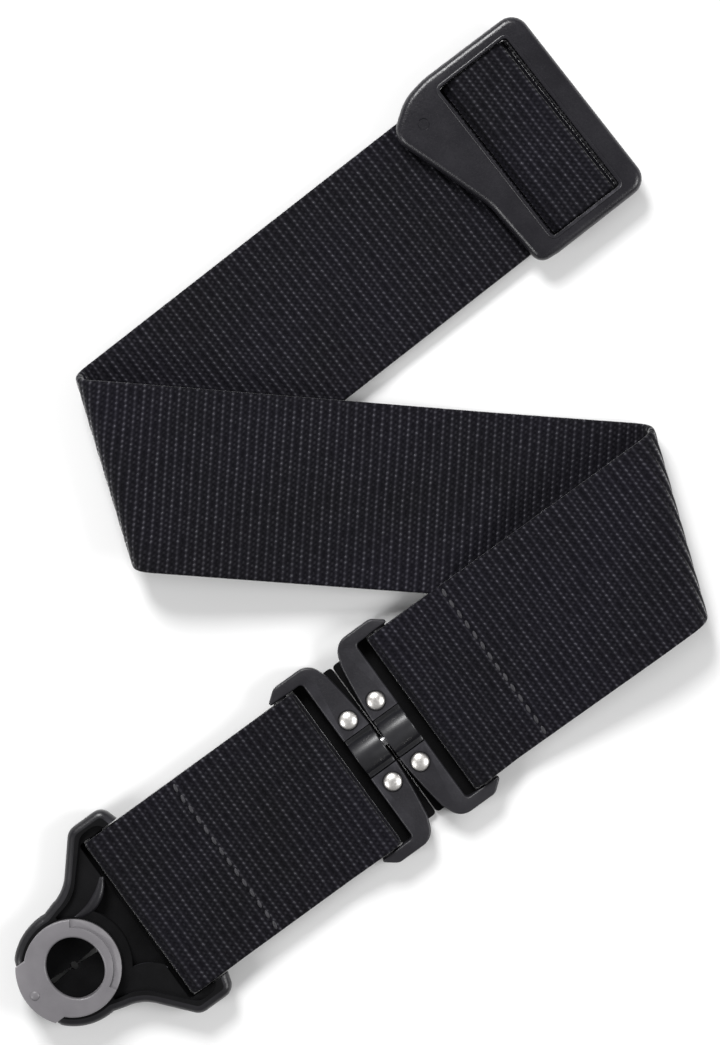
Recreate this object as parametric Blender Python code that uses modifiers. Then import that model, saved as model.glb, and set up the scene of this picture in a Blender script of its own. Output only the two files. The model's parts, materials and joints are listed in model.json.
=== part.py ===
"""A two-inch nylon guitar strap lying Z-folded, with a slide adjuster, a swivel link and a button lock."""

import math

import bmesh
import bpy
from mathutils import Matrix, Vector

MM = 0.001
GAP = 0.3 * MM

# Webbing
WEB_WIDTH = 50.8 * MM
WEB_THICK = 2.0 * MM
FOLD_RADIUS = 5.5 * MM
LOOP_RADIUS = 3.4 * MM
FLOOR_LAYER_Z = WEB_THICK / 2
SECOND_LAYER_Z = FLOOR_LAYER_Z + WEB_THICK + GAP
TAIL_PAST_LINK = 41.0 * MM
TAIL_SLOPE = math.radians(9.0)
ADJUSTER_TAIL = 118.0 * MM

# Plan: directions of the three runs and of the rulings at the two folds
LINK_AXIS = math.radians(36.0)
RIGHT_FOLD_SKEW = math.radians(20.1)
LEFT_FOLD_SKEW = math.radians(21.1)
LINK_CENTRE = Vector((6.18, -59.64, 0.0)) * MM
LINK_TO_RIGHT_FOLD = 93.3 * MM
FOLD_TO_FOLD = 144.0 * MM
FOLD_TO_ADJUSTER = 140.0 * MM

# Swivel link
BAR_Z = 4.4 * MM
BAR_RADIUS = LOOP_RADIUS - WEB_THICK / 2 - GAP
LINK_HALF_WIDTH = 29.3 * MM
SLOT_HALF_WIDTH = 25.8 * MM
LINK_SLOT_START = 9.1 * MM
LINK_LOOP_EDGE = 12.2 * MM
LINK_BAR_X = LINK_LOOP_EDGE + LOOP_RADIUS + WEB_THICK / 2
LINK_END_X = 20.6 * MM
LINK_EAR_X = 16.2 * MM
LINK_SILL_END = 12.4 * MM
LINK_FRAME_Z = (1.5 * MM, 7.0 * MM)
RIVET_X = 4.6 * MM
RIVET_Y = 10.3 * MM
RIVET_HEAD_RADIUS = 2.55 * MM
RIVET_SHANK_RADIUS = 1.15 * MM
SADDLE_HALF_WIDTH = 6.0 * MM
SADDLE_FLOOR = 0.6 * MM
SWIVEL_RADIUS = 1.5 * MM
SWIVEL_HEAD_RADIUS = 2.0 * MM

# Button lock
LINK_TO_LOCK = 104.5 * MM
LOCK_LOOP_EDGE = 21.5 * MM
LOCK_BAR_X = LOCK_LOOP_EDGE + LOOP_RADIUS + WEB_THICK / 2
LOCK_SILL_END = 21.6 * MM
HUB_RADIUS = 16.3 * MM
RING_RADIUS = 13.3 * MM
RING_BORE = 8.1 * MM
TAB_RADIUS = 15.5 * MM
TAB_HALF_ANGLE = 39.0
TAB_RELIEF = 0.7 * MM
WING_HALF_WIDTH = 30.9 * MM
HOUSING_Z = (1.9 * MM, 8.4 * MM)
RING_Z = (8.7 * MM, 11.4 * MM)
JAW_Z = (2.2 * MM, 4.2 * MM)
CAM_Z = (4.5 * MM, 5.0 * MM)
RETAINER_Z = (5.2 * MM, 5.9 * MM)
POCKET_ROOF = 6.2 * MM
SLEEVE_RADIUS = 9.6 * MM
SLEEVE_FOOT = 4.6 * MM
SPRING_SEAT = 7.0 * MM
SCREW_PLACE = (12.2 * MM, 12.8 * MM)
SCREW_RADIUS = 0.9 * MM

# Slide adjuster
ADJ_HALF_WIDTH = 29.7 * MM
ADJ_OPENING_X = 11.6 * MM
ADJ_OPENING_Y = 26.0 * MM
ADJ_RIGHT_X = 18.4 * MM
ADJ_FRAME_Z = (4.7 * MM, 9.2 * MM)
ADJ_CENTRE_BAR = (5.0 * MM, 6.4 * MM)


def clear_scene():
    for old in list(bpy.data.objects):
        bpy.data.objects.remove(old, do_unlink=True)


def new_collection(name):
    made = bpy.data.collections.new(name)
    bpy.context.scene.collection.children.link(made)
    return made


def material(name, colour, roughness, metallic=0.0):
    made = bpy.data.materials.new(name)
    made.use_nodes = True
    shader = made.node_tree.nodes["Principled BSDF"]
    shader.inputs["Base Color"].default_value = (*colour, 1.0)
    shader.inputs["Roughness"].default_value = roughness
    shader.inputs["Metallic"].default_value = metallic
    return made


clear_scene()
STRAP = new_collection("guitar_strap")
CUTTERS = new_collection("cutters")
LOOKS = {
    "webbing": ((0.014, 0.013, 0.017), 0.85, 0.0),
    "frame_plastic": ((0.035, 0.034, 0.04), 0.5, 0.0),
    "saddle_metal": ((0.02, 0.02, 0.024), 0.25, 0.3),
    "bright_steel": ((0.75, 0.73, 0.7), 0.25, 1.0),
    "spring_steel": ((0.45, 0.45, 0.46), 0.35, 1.0),
    "ring_plastic": ((0.24, 0.23, 0.24), 0.45, 0.0),
}


# ---------------------------------------------------------------- placing


def local_frame(angle, centre):
    return Matrix.Translation(centre) @ Matrix.Rotation(angle, 4, "Z")


def finish_object(obj, name, look, frame=None, origin=None):
    """Names the object, gives it its material and stands its origin on its joint's axis."""
    obj.name = name
    obj.data.name = name
    colour, roughness, metallic = LOOKS[look]
    obj.data.materials.clear()
    obj.data.materials.append(material(name + "_" + look, colour, roughness, metallic))
    place = frame if frame is not None else Matrix.Identity(4)
    if origin is not None:
        obj.data.transform(Matrix.Translation(-Vector(origin)))
        place = place @ Matrix.Translation(Vector(origin))
    obj.matrix_world = place
    for old in list(obj.users_collection):
        old.objects.unlink(obj)
    STRAP.objects.link(obj)
    obj.data.shade_smooth()
    obj.data.set_sharp_from_angle(angle=math.radians(35))
    return obj


def mesh_object(name, bm):
    bmesh.ops.recalc_face_normals(bm, faces=bm.faces)
    mesh = bpy.data.meshes.new(name)
    bm.to_mesh(mesh)
    bm.free()
    obj = bpy.data.objects.new(name, mesh)
    CUTTERS.objects.link(obj)
    return obj


def weld(obj, distance):
    """Joins the vertices that lie closer than distance."""
    bm = bmesh.new()
    bm.from_mesh(obj.data)
    bmesh.ops.remove_doubles(bm, verts=bm.verts, dist=distance)
    bmesh.ops.dissolve_degenerate(bm, edges=bm.edges, dist=distance / 2)
    bmesh.ops.recalc_face_normals(bm, faces=bm.faces)
    bm.to_mesh(obj.data)
    bm.free()
    return obj


def apply_modifiers(obj):
    bpy.context.view_layer.update()
    evaluated = obj.evaluated_get(bpy.context.evaluated_depsgraph_get())
    fresh = bpy.data.meshes.new_from_object(evaluated)
    obj.modifiers.clear()
    obj.data = fresh
    return obj


# ---------------------------------------------------------------- solids


def fillet(corners, steps=5):
    """The outline through corners (x, y, radius), each rounded by an arc of its radius."""
    outline = []
    count = len(corners)
    for i, (x, y, radius) in enumerate(corners):
        here = Vector((x, y))
        if radius <= 0:
            outline.append(here)
            continue
        back = (Vector(corners[i - 1][:2]) - here).normalized()
        ahead = (Vector(corners[(i + 1) % count][:2]) - here).normalized()
        half = math.acos(max(-1.0, min(1.0, back.dot(ahead)))) / 2
        centre = here + (back + ahead).normalized() * (radius / math.sin(half))
        first = here + back * (radius / math.tan(half)) - centre
        last = here + ahead * (radius / math.tan(half)) - centre
        sweep = first.angle_signed(last)
        for k in range(steps + 1):
            turned = first.copy()
            turned.rotate(Matrix.Rotation(-sweep * k / steps, 2))
            outline.append(centre + turned)
    return outline


def arc_points(radius, start, end, steps, centre=(0.0, 0.0)):
    span = math.radians(end - start)
    begin = math.radians(start)
    return [
        Vector(
            (
                centre[0] + radius * math.cos(begin + span * k / steps),
                centre[1] + radius * math.sin(begin + span * k / steps),
            )
        )
        for k in range(steps + 1)
    ]


def plate(outline, low, high, holes=(), bevel=0.0, segments=2):
    """A flat outline with holes, from height low to high, its edges rounded by bevel."""
    curve = bpy.data.curves.new("outline", "CURVE")
    curve.dimensions = "2D"
    curve.fill_mode = "BOTH"
    curve.extrude = (high - low) / 2
    for points in (outline, *holes):
        spline = curve.splines.new("POLY")
        spline.points.add(len(points) - 1)
        for point, place in zip(spline.points, points):
            point.co = (place[0], place[1], 0.0, 1.0)
        spline.use_cyclic_u = True
    shape = bpy.data.objects.new("outline", curve)
    CUTTERS.objects.link(shape)
    bpy.context.view_layer.update()
    evaluated = shape.evaluated_get(bpy.context.evaluated_depsgraph_get())
    mesh = bpy.data.meshes.new_from_object(evaluated)
    bpy.data.objects.remove(shape, do_unlink=True)
    bm = bmesh.new()
    bm.from_mesh(mesh)
    bmesh.ops.remove_doubles(bm, verts=bm.verts, dist=1e-6)
    bmesh.ops.translate(bm, verts=bm.verts, vec=(0, 0, (high + low) / 2))
    bmesh.ops.dissolve_limit(bm, angle_limit=math.radians(1), verts=bm.verts, edges=bm.edges)
    obj = mesh_object("plate", bm)
    if bevel > 0:
        rounded = obj.modifiers.new("edges", "BEVEL")
        rounded.width = bevel
        rounded.segments = segments
        rounded.limit_method = "ANGLE"
        rounded.angle_limit = math.radians(40)
        weld(apply_modifiers(obj), 0.02 * MM)
    return obj


def cylinder(radius, start, end, sides=24, top_radius=None):
    """A round bar from point start to point end."""
    start = Vector(start)
    end = Vector(end)
    bm = bmesh.new()
    bmesh.ops.create_cone(
        bm,
        cap_ends=True,
        segments=sides,
        radius1=radius,
        radius2=radius if top_radius is None else top_radius,
        depth=(end - start).length,
    )
    turn = (end - start).to_track_quat("Z", "Y").to_matrix().to_4x4()
    bmesh.ops.transform(bm, matrix=Matrix.Translation((start + end) / 2) @ turn, verts=bm.verts)
    return mesh_object("cylinder", bm)


def box(low, high):
    bm = bmesh.new()
    bmesh.ops.create_cube(bm, size=1.0)
    size = Vector(high) - Vector(low)
    bmesh.ops.scale(bm, vec=size, verts=bm.verts)
    bmesh.ops.translate(bm, vec=(Vector(high) + Vector(low)) / 2, verts=bm.verts)
    return mesh_object("box", bm)


def turned(profile, steps=48):
    """A solid of revolution about Z from (radius, height) points that run round its section."""
    mesh = bpy.data.meshes.new("turned")
    points = [(radius, 0.0, height) for radius, height in profile]
    count = len(points)
    closed = profile[0][0] > 0
    edges = [(i, (i + 1) % count) for i in range(count if closed else count - 1)]
    mesh.from_pydata(points, edges, [])
    obj = bpy.data.objects.new("turned", mesh)
    CUTTERS.objects.link(obj)
    screw = obj.modifiers.new("turn", "SCREW")
    screw.steps = steps
    screw.render_steps = steps
    screw.use_merge_vertices = True
    screw.merge_threshold = 1e-6
    return weld(apply_modifiers(obj), 1e-6)


def combine(obj, other, operation):
    """Joins or cuts obj with other, which is used up."""
    step = obj.modifiers.new(operation.lower(), "BOOLEAN")
    step.operation = operation
    step.solver = "EXACT"
    step.object = other
    apply_modifiers(obj)
    bpy.data.objects.remove(other, do_unlink=True)
    return obj


# ---------------------------------------------------------------- webbing


class BandWalk:
    """Walks along the middle of a flat band. Each station keeps a ruling, the straight line
    across the band that a fold bends about, so every fold keeps the band's length and width."""

    def __init__(self, place, heading, normal):
        self.place = Vector(place)
        self.heading = Vector(heading).normalized()
        self.normal = Vector(normal).normalized()
        self.skew = 0.0
        self.stations = []
        self.mark()

    def ruling(self):
        across = self.normal.cross(self.heading)
        return across * math.cos(self.skew) + self.heading * math.sin(self.skew)

    def mark(self):
        half = self.ruling() * (WEB_WIDTH / 2 / math.cos(self.skew))
        self.stations.append((self.place + half, self.place - half, self.normal.copy()))

    def run(self, length, steps=1, skew=None):
        for _ in range(steps):
            self.place += self.heading * (length / steps)
            if skew is not None:
                self.skew = skew
            self.mark()

    def bend(self, angle, radius, step_degrees=10.0):
        """Turns by angle about the ruling, on a roll of this radius."""
        axis = self.ruling().normalized()
        steps = max(2, math.ceil(abs(math.degrees(angle)) / step_degrees))
        part = angle / steps
        half_turn = Matrix.Rotation(part / 2, 3, axis)
        chord = 2 * radius * math.sin(abs(part) / 2)
        slip = radius * abs(part) * math.tan(self.skew)
        for _ in range(steps):
            self.turn(half_turn)
            level = (self.heading - axis * self.heading.dot(axis)).normalized()
            self.place += level * chord + axis * slip
            self.turn(half_turn)
            self.mark()

    def turn(self, rotation):
        self.heading = (rotation @ self.heading).normalized()
        self.normal = (rotation @ self.normal).normalized()


def band_solid(stations, closed=False):
    """A band of the webbing's thickness through the stations' rulings."""
    bm = bmesh.new()
    rings = []
    for left, right, normal in stations:
        lift = normal * (WEB_THICK / 2)
        corners = (left - lift, right - lift, right + lift, left + lift)
        rings.append([bm.verts.new(corner) for corner in corners])
    pairs = list(zip(rings, rings[1:]))
    if closed:
        pairs.append((rings[-1], rings[0]))
    for near, far in pairs:
        for k in range(4):
            bm.faces.new((near[k], near[(k + 1) % 4], far[(k + 1) % 4], far[k]))
    if not closed:
        bm.faces.new(rings[0])
        bm.faces.new(rings[-1])
    return mesh_object("band", bm)


def along(angle):
    return Vector((math.cos(angle), math.sin(angle), 0.0))


def walk_main_webbing():
    """From the stitched tail at the link, round its bar, over both folds, and back at the adjuster."""
    ahead = along(LINK_AXIS)
    up = Vector((0, 0, 1))
    foot_x = LINK_BAR_X + 2.0 * MM
    foot_bend = 12.0 * MM
    slope_x = foot_x + foot_bend * math.sin(TAIL_SLOPE)
    slope_z = FLOOR_LAYER_Z + foot_bend * (1 - math.cos(TAIL_SLOPE))
    tail_run = (TAIL_PAST_LINK - slope_x) / math.cos(TAIL_SLOPE)
    tail_end = LINK_CENTRE + ahead * TAIL_PAST_LINK + up * (slope_z + tail_run * math.sin(TAIL_SLOPE))
    heading = -ahead * math.cos(TAIL_SLOPE) - up * math.sin(TAIL_SLOPE)
    normal = ahead * math.sin(TAIL_SLOPE) - up * math.cos(TAIL_SLOPE)
    walk = BandWalk(tail_end, heading, normal)
    walk.run(tail_run, 2)
    walk.bend(TAIL_SLOPE, foot_bend, 5)
    walk.run(foot_x - LINK_BAR_X)
    walk.bend(math.pi, LOOP_RADIUS, 15)
    dip = math.radians(18.0)
    walk.bend(dip, 6.0 * MM, 6)
    rise_bend = 9.0 * MM
    flat_x = (walk.place - LINK_CENTRE).dot(ahead) + rise_bend * (math.sin(dip) + math.sin(TAIL_SLOPE))
    flat_z = walk.place.z - rise_bend * (math.cos(TAIL_SLOPE) - math.cos(dip))
    spare = (flat_z - slope_z) * math.cos(TAIL_SLOPE) - (flat_x - slope_x) * math.sin(TAIL_SLOPE)
    walk.run((spare - WEB_THICK - GAP) / math.sin(dip + TAIL_SLOPE))
    walk.bend(-(dip + TAIL_SLOPE), rise_bend, 6)
    level_radius = 40.0 * MM
    top_z = FLOOR_LAYER_Z + 2 * FOLD_RADIUS
    rise = top_z - walk.place.z - level_radius * (1 - math.cos(TAIL_SLOPE))
    walk.run(rise / math.sin(TAIL_SLOPE), 4)
    walk.bend(TAIL_SLOPE, level_radius, 3)
    walk.run(LINK_TO_RIGHT_FOLD - (walk.place - LINK_CENTRE).dot(ahead), skew=RIGHT_FOLD_SKEW)
    walk.bend(math.pi, FOLD_RADIUS)
    slope_skew = (RIGHT_FOLD_SKEW + LEFT_FOLD_SKEW) / 2
    climb = math.radians(8.0)
    climb_radius = 60.0 * MM
    height = SECOND_LAYER_Z + 2 * FOLD_RADIUS - walk.place.z
    straight = (height - 2 * climb_radius * (1 - math.cos(climb))) / math.sin(climb)
    ramp = (straight + 2 * climb_radius * math.sin(climb)) / math.cos(slope_skew)
    walk.run(FOLD_TO_FOLD - ramp - 2.0 * MM, 2, skew=slope_skew)
    walk.bend(climb, climb_radius, 2)
    walk.run(straight / math.cos(slope_skew), 5)
    walk.bend(-climb, climb_radius, 2)
    walk.run(2.0 * MM, skew=LEFT_FOLD_SKEW)
    walk.bend(-math.pi, FOLD_RADIUS)
    walk.run(14.0 * MM, skew=0.0)
    walk.run(FOLD_TO_ADJUSTER - 14.0 * MM, 4)
    adjuster = walk.place.copy()
    heading = walk.heading.copy()
    walk.run(10.0 * MM)
    walk.bend(math.pi, (WEB_THICK + GAP) / 2, 30)
    walk.run(ADJUSTER_TAIL, 4)
    return walk.stations, adjuster, heading


def walk_end_webbing():
    """The closed band round the lower link's bar and the lock's bar, pinched where it is stitched."""
    ahead = along(LINK_AXIS)
    up = Vector((0, 0, 1))
    span = LINK_TO_LOCK - LINK_BAR_X - LOCK_BAR_X
    pinch = math.radians(10.0)
    radius = 8.0 * MM
    drop = LOOP_RADIUS - (WEB_THICK + GAP) / 2
    straight = (drop - 2 * radius * (1 - math.cos(pinch))) / math.sin(pinch)
    reach = straight * math.cos(pinch) + 2 * radius * math.sin(pinch)
    middle = span - 2 * reach
    start = LINK_CENTRE - ahead * LINK_BAR_X + up * (BAR_Z + LOOP_RADIUS)
    walk = BandWalk(start, -ahead, up)
    for _ in range(2):
        walk.bend(pinch, radius, 5)
        walk.run(straight)
        walk.bend(-pinch, radius, 5)
        walk.run(middle, 3)
        walk.bend(-pinch, radius, 5)
        walk.run(straight)
        walk.bend(pinch, radius, 5)
        walk.bend(math.pi, LOOP_RADIUS, 15)
    return walk.stations[:-1]


def main_webbing():
    stations, adjuster, heading = walk_main_webbing()
    finish_object(band_solid(stations), "main_webbing", "webbing")
    return adjuster, math.atan2(heading.y, heading.x)


def end_webbing():
    ahead = along(LINK_AXIS)
    hinge = LINK_CENTRE - ahead * LINK_BAR_X + Vector((0, 0, BAR_Z))
    band = band_solid(walk_end_webbing(), closed=True)
    finish_object(band, "end_webbing", "webbing", origin=hinge)


# ---------------------------------------------------------------- slide adjuster


def adjuster_frame(frame):
    """Wide tapered bar, two rails, end bar and the centre bar that the webbing climbs over."""
    low, high = ADJ_FRAME_Z
    wide_bar = (
        (-11.9 * MM, ADJ_HALF_WIDTH, 4 * MM),
        (-19.0 * MM, 28.6 * MM, 6 * MM),
        (-29.6 * MM, 22.6 * MM, 4 * MM),
        (-25.0 * MM, 8.5 * MM, 20 * MM),
        (-20.0 * MM, -8.0 * MM, 20 * MM),
        (-18.9 * MM, -29.0 * MM, 3.5 * MM),
    )
    corners = [
        (ADJ_RIGHT_X, -ADJ_HALF_WIDTH, 5 * MM),
        (ADJ_RIGHT_X, ADJ_HALF_WIDTH, 5 * MM),
        *wide_bar,
        (-13.0 * MM, -ADJ_HALF_WIDTH, 4 * MM),
    ]
    opening = fillet(
        [
            (-ADJ_OPENING_X, -ADJ_OPENING_Y, 1.0 * MM),
            (ADJ_OPENING_X, -ADJ_OPENING_Y, 1.0 * MM),
            (ADJ_OPENING_X, ADJ_OPENING_Y, 1.0 * MM),
            (-ADJ_OPENING_X, ADJ_OPENING_Y, 1.0 * MM),
        ],
        3,
    )
    body = plate(fillet(corners), low, high, [opening], bevel=1.1 * MM)
    bar_x, bar_top = ADJ_CENTRE_BAR
    bar_y = ADJ_OPENING_Y + 1.0 * MM
    body = combine(body, box((-bar_x, -bar_y, low + 0.05 * MM), (bar_x, bar_y, bar_top)), "UNION")
    for side in (-1, 1):
        edges = sorted((side * ADJ_OPENING_Y, side * (ADJ_HALF_WIDTH - 0.4 * MM)))
        rail = box((-13.0 * MM, edges[0], 2.4 * MM), (14.0 * MM, edges[1], low + 1.6 * MM))
        body = combine(body, rail, "UNION")
    finish_object(body, "adjuster_frame", "frame_plastic", frame)


def adjuster_hump(frame):
    """The webbing's climb over the centre bar, from one slot to the other."""
    bar_top = ADJ_CENTRE_BAR[1]
    rest = SECOND_LAYER_Z + WEB_THICK / 2 + GAP
    half_run = ADJ_OPENING_X - 1.4 * MM
    steps = 12
    lift = bar_top + GAP - rest
    bm = bmesh.new()
    half = WEB_WIDTH / 2
    low = []
    high = []
    for k in range(steps + 1):
        x = -half_run + 2 * half_run * k / steps
        edge = min(1.0, (half_run - abs(x)) / (half_run - ADJ_CENTRE_BAR[0] - 0.4 * MM))
        rise = lift * math.sin(edge * math.pi / 2)
        low.append((x, rest + rise))
        high.append((x, rest + rise + WEB_THICK * (0.75 + 0.25 * edge)))
    outline = low + high[::-1]
    sides = [[bm.verts.new((x, y, z)) for x, z in outline] for y in (-half, half)]
    count = len(outline)
    for k in range(count):
        ahead = (k + 1) % count
        bm.faces.new((sides[0][k], sides[0][ahead], sides[1][ahead], sides[1][k]))
    for side in sides:
        for k in range(steps):
            back = count - 1 - k
            bm.faces.new((side[k], side[k + 1], side[back - 1], side[back]))
    finish_object(mesh_object("hump", bm), "adjuster_webbing_hump", "webbing", frame)


# ---------------------------------------------------------------- swivel link


def bowed_edge(offset, steps=8):
    """The gap edge of a link frame, bowed so that the two frames nearly touch at the middle."""
    half = LINK_HALF_WIDTH - 6.0 * MM
    points = []
    for k in range(steps + 1):
        y = half - 2 * half * k / steps
        points.append((offset + 2.0 * MM * (y / half) ** 2, y, 0.0))
    return points


def link_frame(frame, name):
    low, high = LINK_FRAME_Z
    corners = [
        (LINK_END_X, -SLOT_HALF_WIDTH, 0.0),
        (LINK_SLOT_START, -SLOT_HALF_WIDTH, 1.2 * MM),
        (LINK_SLOT_START, SLOT_HALF_WIDTH, 1.2 * MM),
        (LINK_END_X, SLOT_HALF_WIDTH, 0.0),
        (LINK_EAR_X, LINK_HALF_WIDTH, 3.0 * MM),
        (4.6 * MM, LINK_HALF_WIDTH, 5.0 * MM),
        *bowed_edge(0.35 * MM),
        (4.6 * MM, -LINK_HALF_WIDTH, 5.0 * MM),
        (LINK_EAR_X, -LINK_HALF_WIDTH, 3.0 * MM),
    ]
    body = plate(fillet(corners), low, high, bevel=0.9 * MM)
    notch = SADDLE_HALF_WIDTH + GAP
    cut = box((-1 * MM, -notch, low - MM), (LINK_SLOT_START + MM, notch, high + MM))
    body = combine(body, cut, "DIFFERENCE")
    bridge_end = (LINK_SLOT_START - 0.1 * MM, notch + 0.5 * MM, low + SADDLE_FLOOR)
    bridge = box((0.6 * MM, -notch - 0.5 * MM, low + 0.05 * MM), bridge_end)
    body = combine(body, bridge, "UNION")
    sill_reach = SLOT_HALF_WIDTH + 0.4 * MM
    sill_end = (LINK_SILL_END, sill_reach, low + 0.5 * MM)
    sill = box((LINK_SLOT_START - 0.4 * MM, -sill_reach, low + 0.1 * MM), sill_end)
    body = combine(body, sill, "UNION")
    reach = SLOT_HALF_WIDTH + 1.0 * MM
    bar = cylinder(BAR_RADIUS, (LINK_BAR_X, -reach, BAR_Z), (LINK_BAR_X, reach, BAR_Z))
    body = combine(body, bar, "UNION")
    for side in (-1, 1):
        hole = cylinder(
            RIVET_SHANK_RADIUS + GAP,
            (RIVET_X, side * RIVET_Y, low - MM),
            (RIVET_X, side * RIVET_Y, high + MM),
            16,
        )
        body = combine(body, hole, "DIFFERENCE")
    finish_object(body, name, "frame_plastic", frame, origin=(LINK_BAR_X, 0, BAR_Z))


def link_saddle(frame, name):
    """A half barrel over the swivel pin, seated in the frame's notch."""
    outer = SADDLE_HALF_WIDTH - 1.0 * MM
    bore = SWIVEL_RADIUS + GAP
    floor_z = LINK_FRAME_Z[0] + SADDLE_FLOOR + GAP
    arch = arc_points(outer, 0, 180, 16, (0.0, BAR_Z))
    outline = [
        Vector((SADDLE_HALF_WIDTH, floor_z)),
        Vector((SADDLE_HALF_WIDTH, BAR_Z)),
        *arch,
        Vector((-SADDLE_HALF_WIDTH, BAR_Z)),
        Vector((-SADDLE_HALF_WIDTH, floor_z)),
    ]
    body = plate(outline, 0.6 * MM, LINK_SLOT_START - 0.2 * MM)
    stand = Matrix(((0, 0, 1, 0), (1, 0, 0, 0), (0, 1, 0, 0), (0, 0, 0, 1)))
    body.data.transform(stand)
    bore_end = (LINK_SLOT_START - 2.6 * MM, 0, BAR_Z)
    hole = cylinder(bore, (-MM, 0, BAR_Z), bore_end, 20)
    body = combine(body, hole, "DIFFERENCE")
    head = cylinder(SWIVEL_HEAD_RADIUS + GAP, (4.2 * MM, 0, BAR_Z), bore_end, 20)
    body = combine(body, head, "DIFFERENCE")
    finish_object(body, name, "saddle_metal", frame)


def link_back_plate(frame, name):
    half = 24.6 * MM
    corners = [
        (0.15 * MM, -half, 1 * MM),
        (LINK_SLOT_START - 0.3 * MM, -half, 1 * MM),
        (LINK_SLOT_START - 0.3 * MM, half, 1 * MM),
        (0.15 * MM, half, 1 * MM),
    ]
    holes = [
        arc_points(RIVET_SHANK_RADIUS + GAP, 0, 345, 15, (RIVET_X, side * RIVET_Y))
        for side in (-1, 1)
    ]
    body = plate(fillet(corners, 3), 0.4 * MM, LINK_FRAME_Z[0] - GAP, holes)
    finish_object(body, name, "saddle_metal", frame)


def link_rivet(frame, name, side):
    """A dome-headed rivet from above, with its shank through the frame and the back plate."""
    top = LINK_FRAME_Z[1] + GAP
    dome = 1.3 * MM
    profile = [
        (RIVET_HEAD_RADIUS * math.cos(a), top + dome * math.sin(a))
        for a in (math.radians(90 - 15 * k) for k in range(7))
    ]
    profile[0] = (0.0, top + dome)
    profile += [(RIVET_SHANK_RADIUS, top), (RIVET_SHANK_RADIUS, 0.5 * MM), (0.0, 0.5 * MM)]
    place = frame @ Matrix.Translation((RIVET_X, side * RIVET_Y, 0))
    finish_object(turned(profile, 20), name, "bright_steel", place)


def swivel_pin(frame):
    """The pin along the strap's axis, with a head captive in each saddle."""
    reach = LINK_SLOT_START - 2.6 * MM - GAP
    body = cylinder(SWIVEL_RADIUS, (-reach, 0, BAR_Z), (reach, 0, BAR_Z), 20)
    for side in (-1, 1):
        head = cylinder(
            SWIVEL_HEAD_RADIUS,
            (side * (4.2 * MM + GAP), 0, BAR_Z),
            (side * reach, 0, BAR_Z),
            20,
        )
        body = combine(body, head, "UNION")
    finish_object(body, "swivel_pin", "bright_steel", frame, origin=(0, 0, BAR_Z))


def swivel_link():
    upper = local_frame(LINK_AXIS, LINK_CENTRE)
    lower = local_frame(LINK_AXIS + math.pi, LINK_CENTRE)
    for half, frame in (("upper", upper), ("lower", lower)):
        link_frame(frame, half + "_link_frame")
        link_saddle(frame, half + "_link_saddle")
        link_back_plate(frame, half + "_link_back_plate")
        for number, side in ((1, 1), (2, -1)):
            link_rivet(frame, f"{half}_link_rivet_{number}", side)
    swivel_pin(upper)


# ---------------------------------------------------------------- button lock


def tab_cover(angle):
    """1 where the ring's finger tab lies over the hub's rim, falling to 0 beside it."""
    return max(0.0, min(1.0, (TAB_HALF_ANGLE + 4.0 - abs(angle - 180.0)) / 8.0))


def lock_outline(inset=0.0):
    """Hub, S-curved flanks and the two wings beside the webbing; inset moves it inwards."""
    wing = WING_HALF_WIDTH - inset
    flank = [
        (33.0 * MM - inset, 25.9 * MM - inset, 1.0 * MM),
        (31.5 * MM - inset, wing, 3.5 * MM),
        (20.5 * MM + inset * 0.6, wing, 4.0 * MM),
        (9.5 * MM + inset * 0.4, 18.0 * MM - inset, 12.0 * MM),
    ]
    hub = HUB_RADIUS - inset
    top = fillet([(40 * MM, 25.9 * MM - inset, 0.0), *flank, (0.0, hub * 1.005, 0.0)], 6)[1:-1]
    round_end = [
        Vector((r * math.cos(math.radians(a)), r * math.sin(math.radians(a))))
        for a, r in ((a, hub - TAB_RELIEF * tab_cover(a)) for a in range(84, 277, 6))
    ]
    return top + round_end + [Vector((p.x, -p.y)) for p in reversed(top)]


def lock_housing(frame):
    """Top shell: hub round the bore, wings, webbing bar, and a pocket open from below."""
    low, high = HOUSING_Z
    body = plate(lock_outline(), low, high, bevel=1.0 * MM)
    slot = fillet(
        [
            (15.6 * MM, -10 * MM, 2 * MM),
            (19.0 * MM, -SLOT_HALF_WIDTH, 1 * MM),
            (40 * MM, -SLOT_HALF_WIDTH, 0),
            (40 * MM, SLOT_HALF_WIDTH, 0),
            (19.0 * MM, SLOT_HALF_WIDTH, 1 * MM),
            (15.6 * MM, 10 * MM, 2 * MM),
        ],
        3,
    )
    body = combine(body, plate(slot, low - MM, high + MM), "DIFFERENCE")
    sill_reach = SLOT_HALF_WIDTH + 0.6 * MM
    sill_end = (LOCK_SILL_END, sill_reach, low + 0.5 * MM)
    sill = box((15.0 * MM, -sill_reach, low + 0.1 * MM), sill_end)
    outside = plate(lock_outline(0.4 * MM), low - MM, high + MM)
    sill = combine(sill, outside, "INTERSECT")
    body = combine(body, sill, "UNION")
    pocket = cylinder(15.0 * MM, (0, 0, low - MM), (0, 0, POCKET_ROOF), 40)
    body = combine(body, pocket, "DIFFERENCE")
    bore = cylinder(SLEEVE_RADIUS + 2 * GAP, (0, 0, low), (0, 0, high + MM), 40)
    body = combine(body, bore, "DIFFERENCE")
    seat = cylinder(11.5 * MM, (0, 0, SPRING_SEAT), (0, 0, high + MM), 40)
    body = combine(body, seat, "DIFFERENCE")
    for side in (-1, 1):
        x, y = SCREW_PLACE
        hole = cylinder(SCREW_RADIUS + GAP, (x, side * y, low - MM), (x, side * y, 6.6 * MM), 14)
        body = combine(body, hole, "DIFFERENCE")
    reach = SLOT_HALF_WIDTH + 1.2 * MM
    bar = cylinder(BAR_RADIUS, (LOCK_BAR_X, -reach, BAR_Z), (LOCK_BAR_X, reach, BAR_Z))
    body = combine(body, bar, "UNION")
    finish_object(body, "lock_housing", "frame_plastic", frame, origin=(LOCK_BAR_X, 0, BAR_Z))


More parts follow.
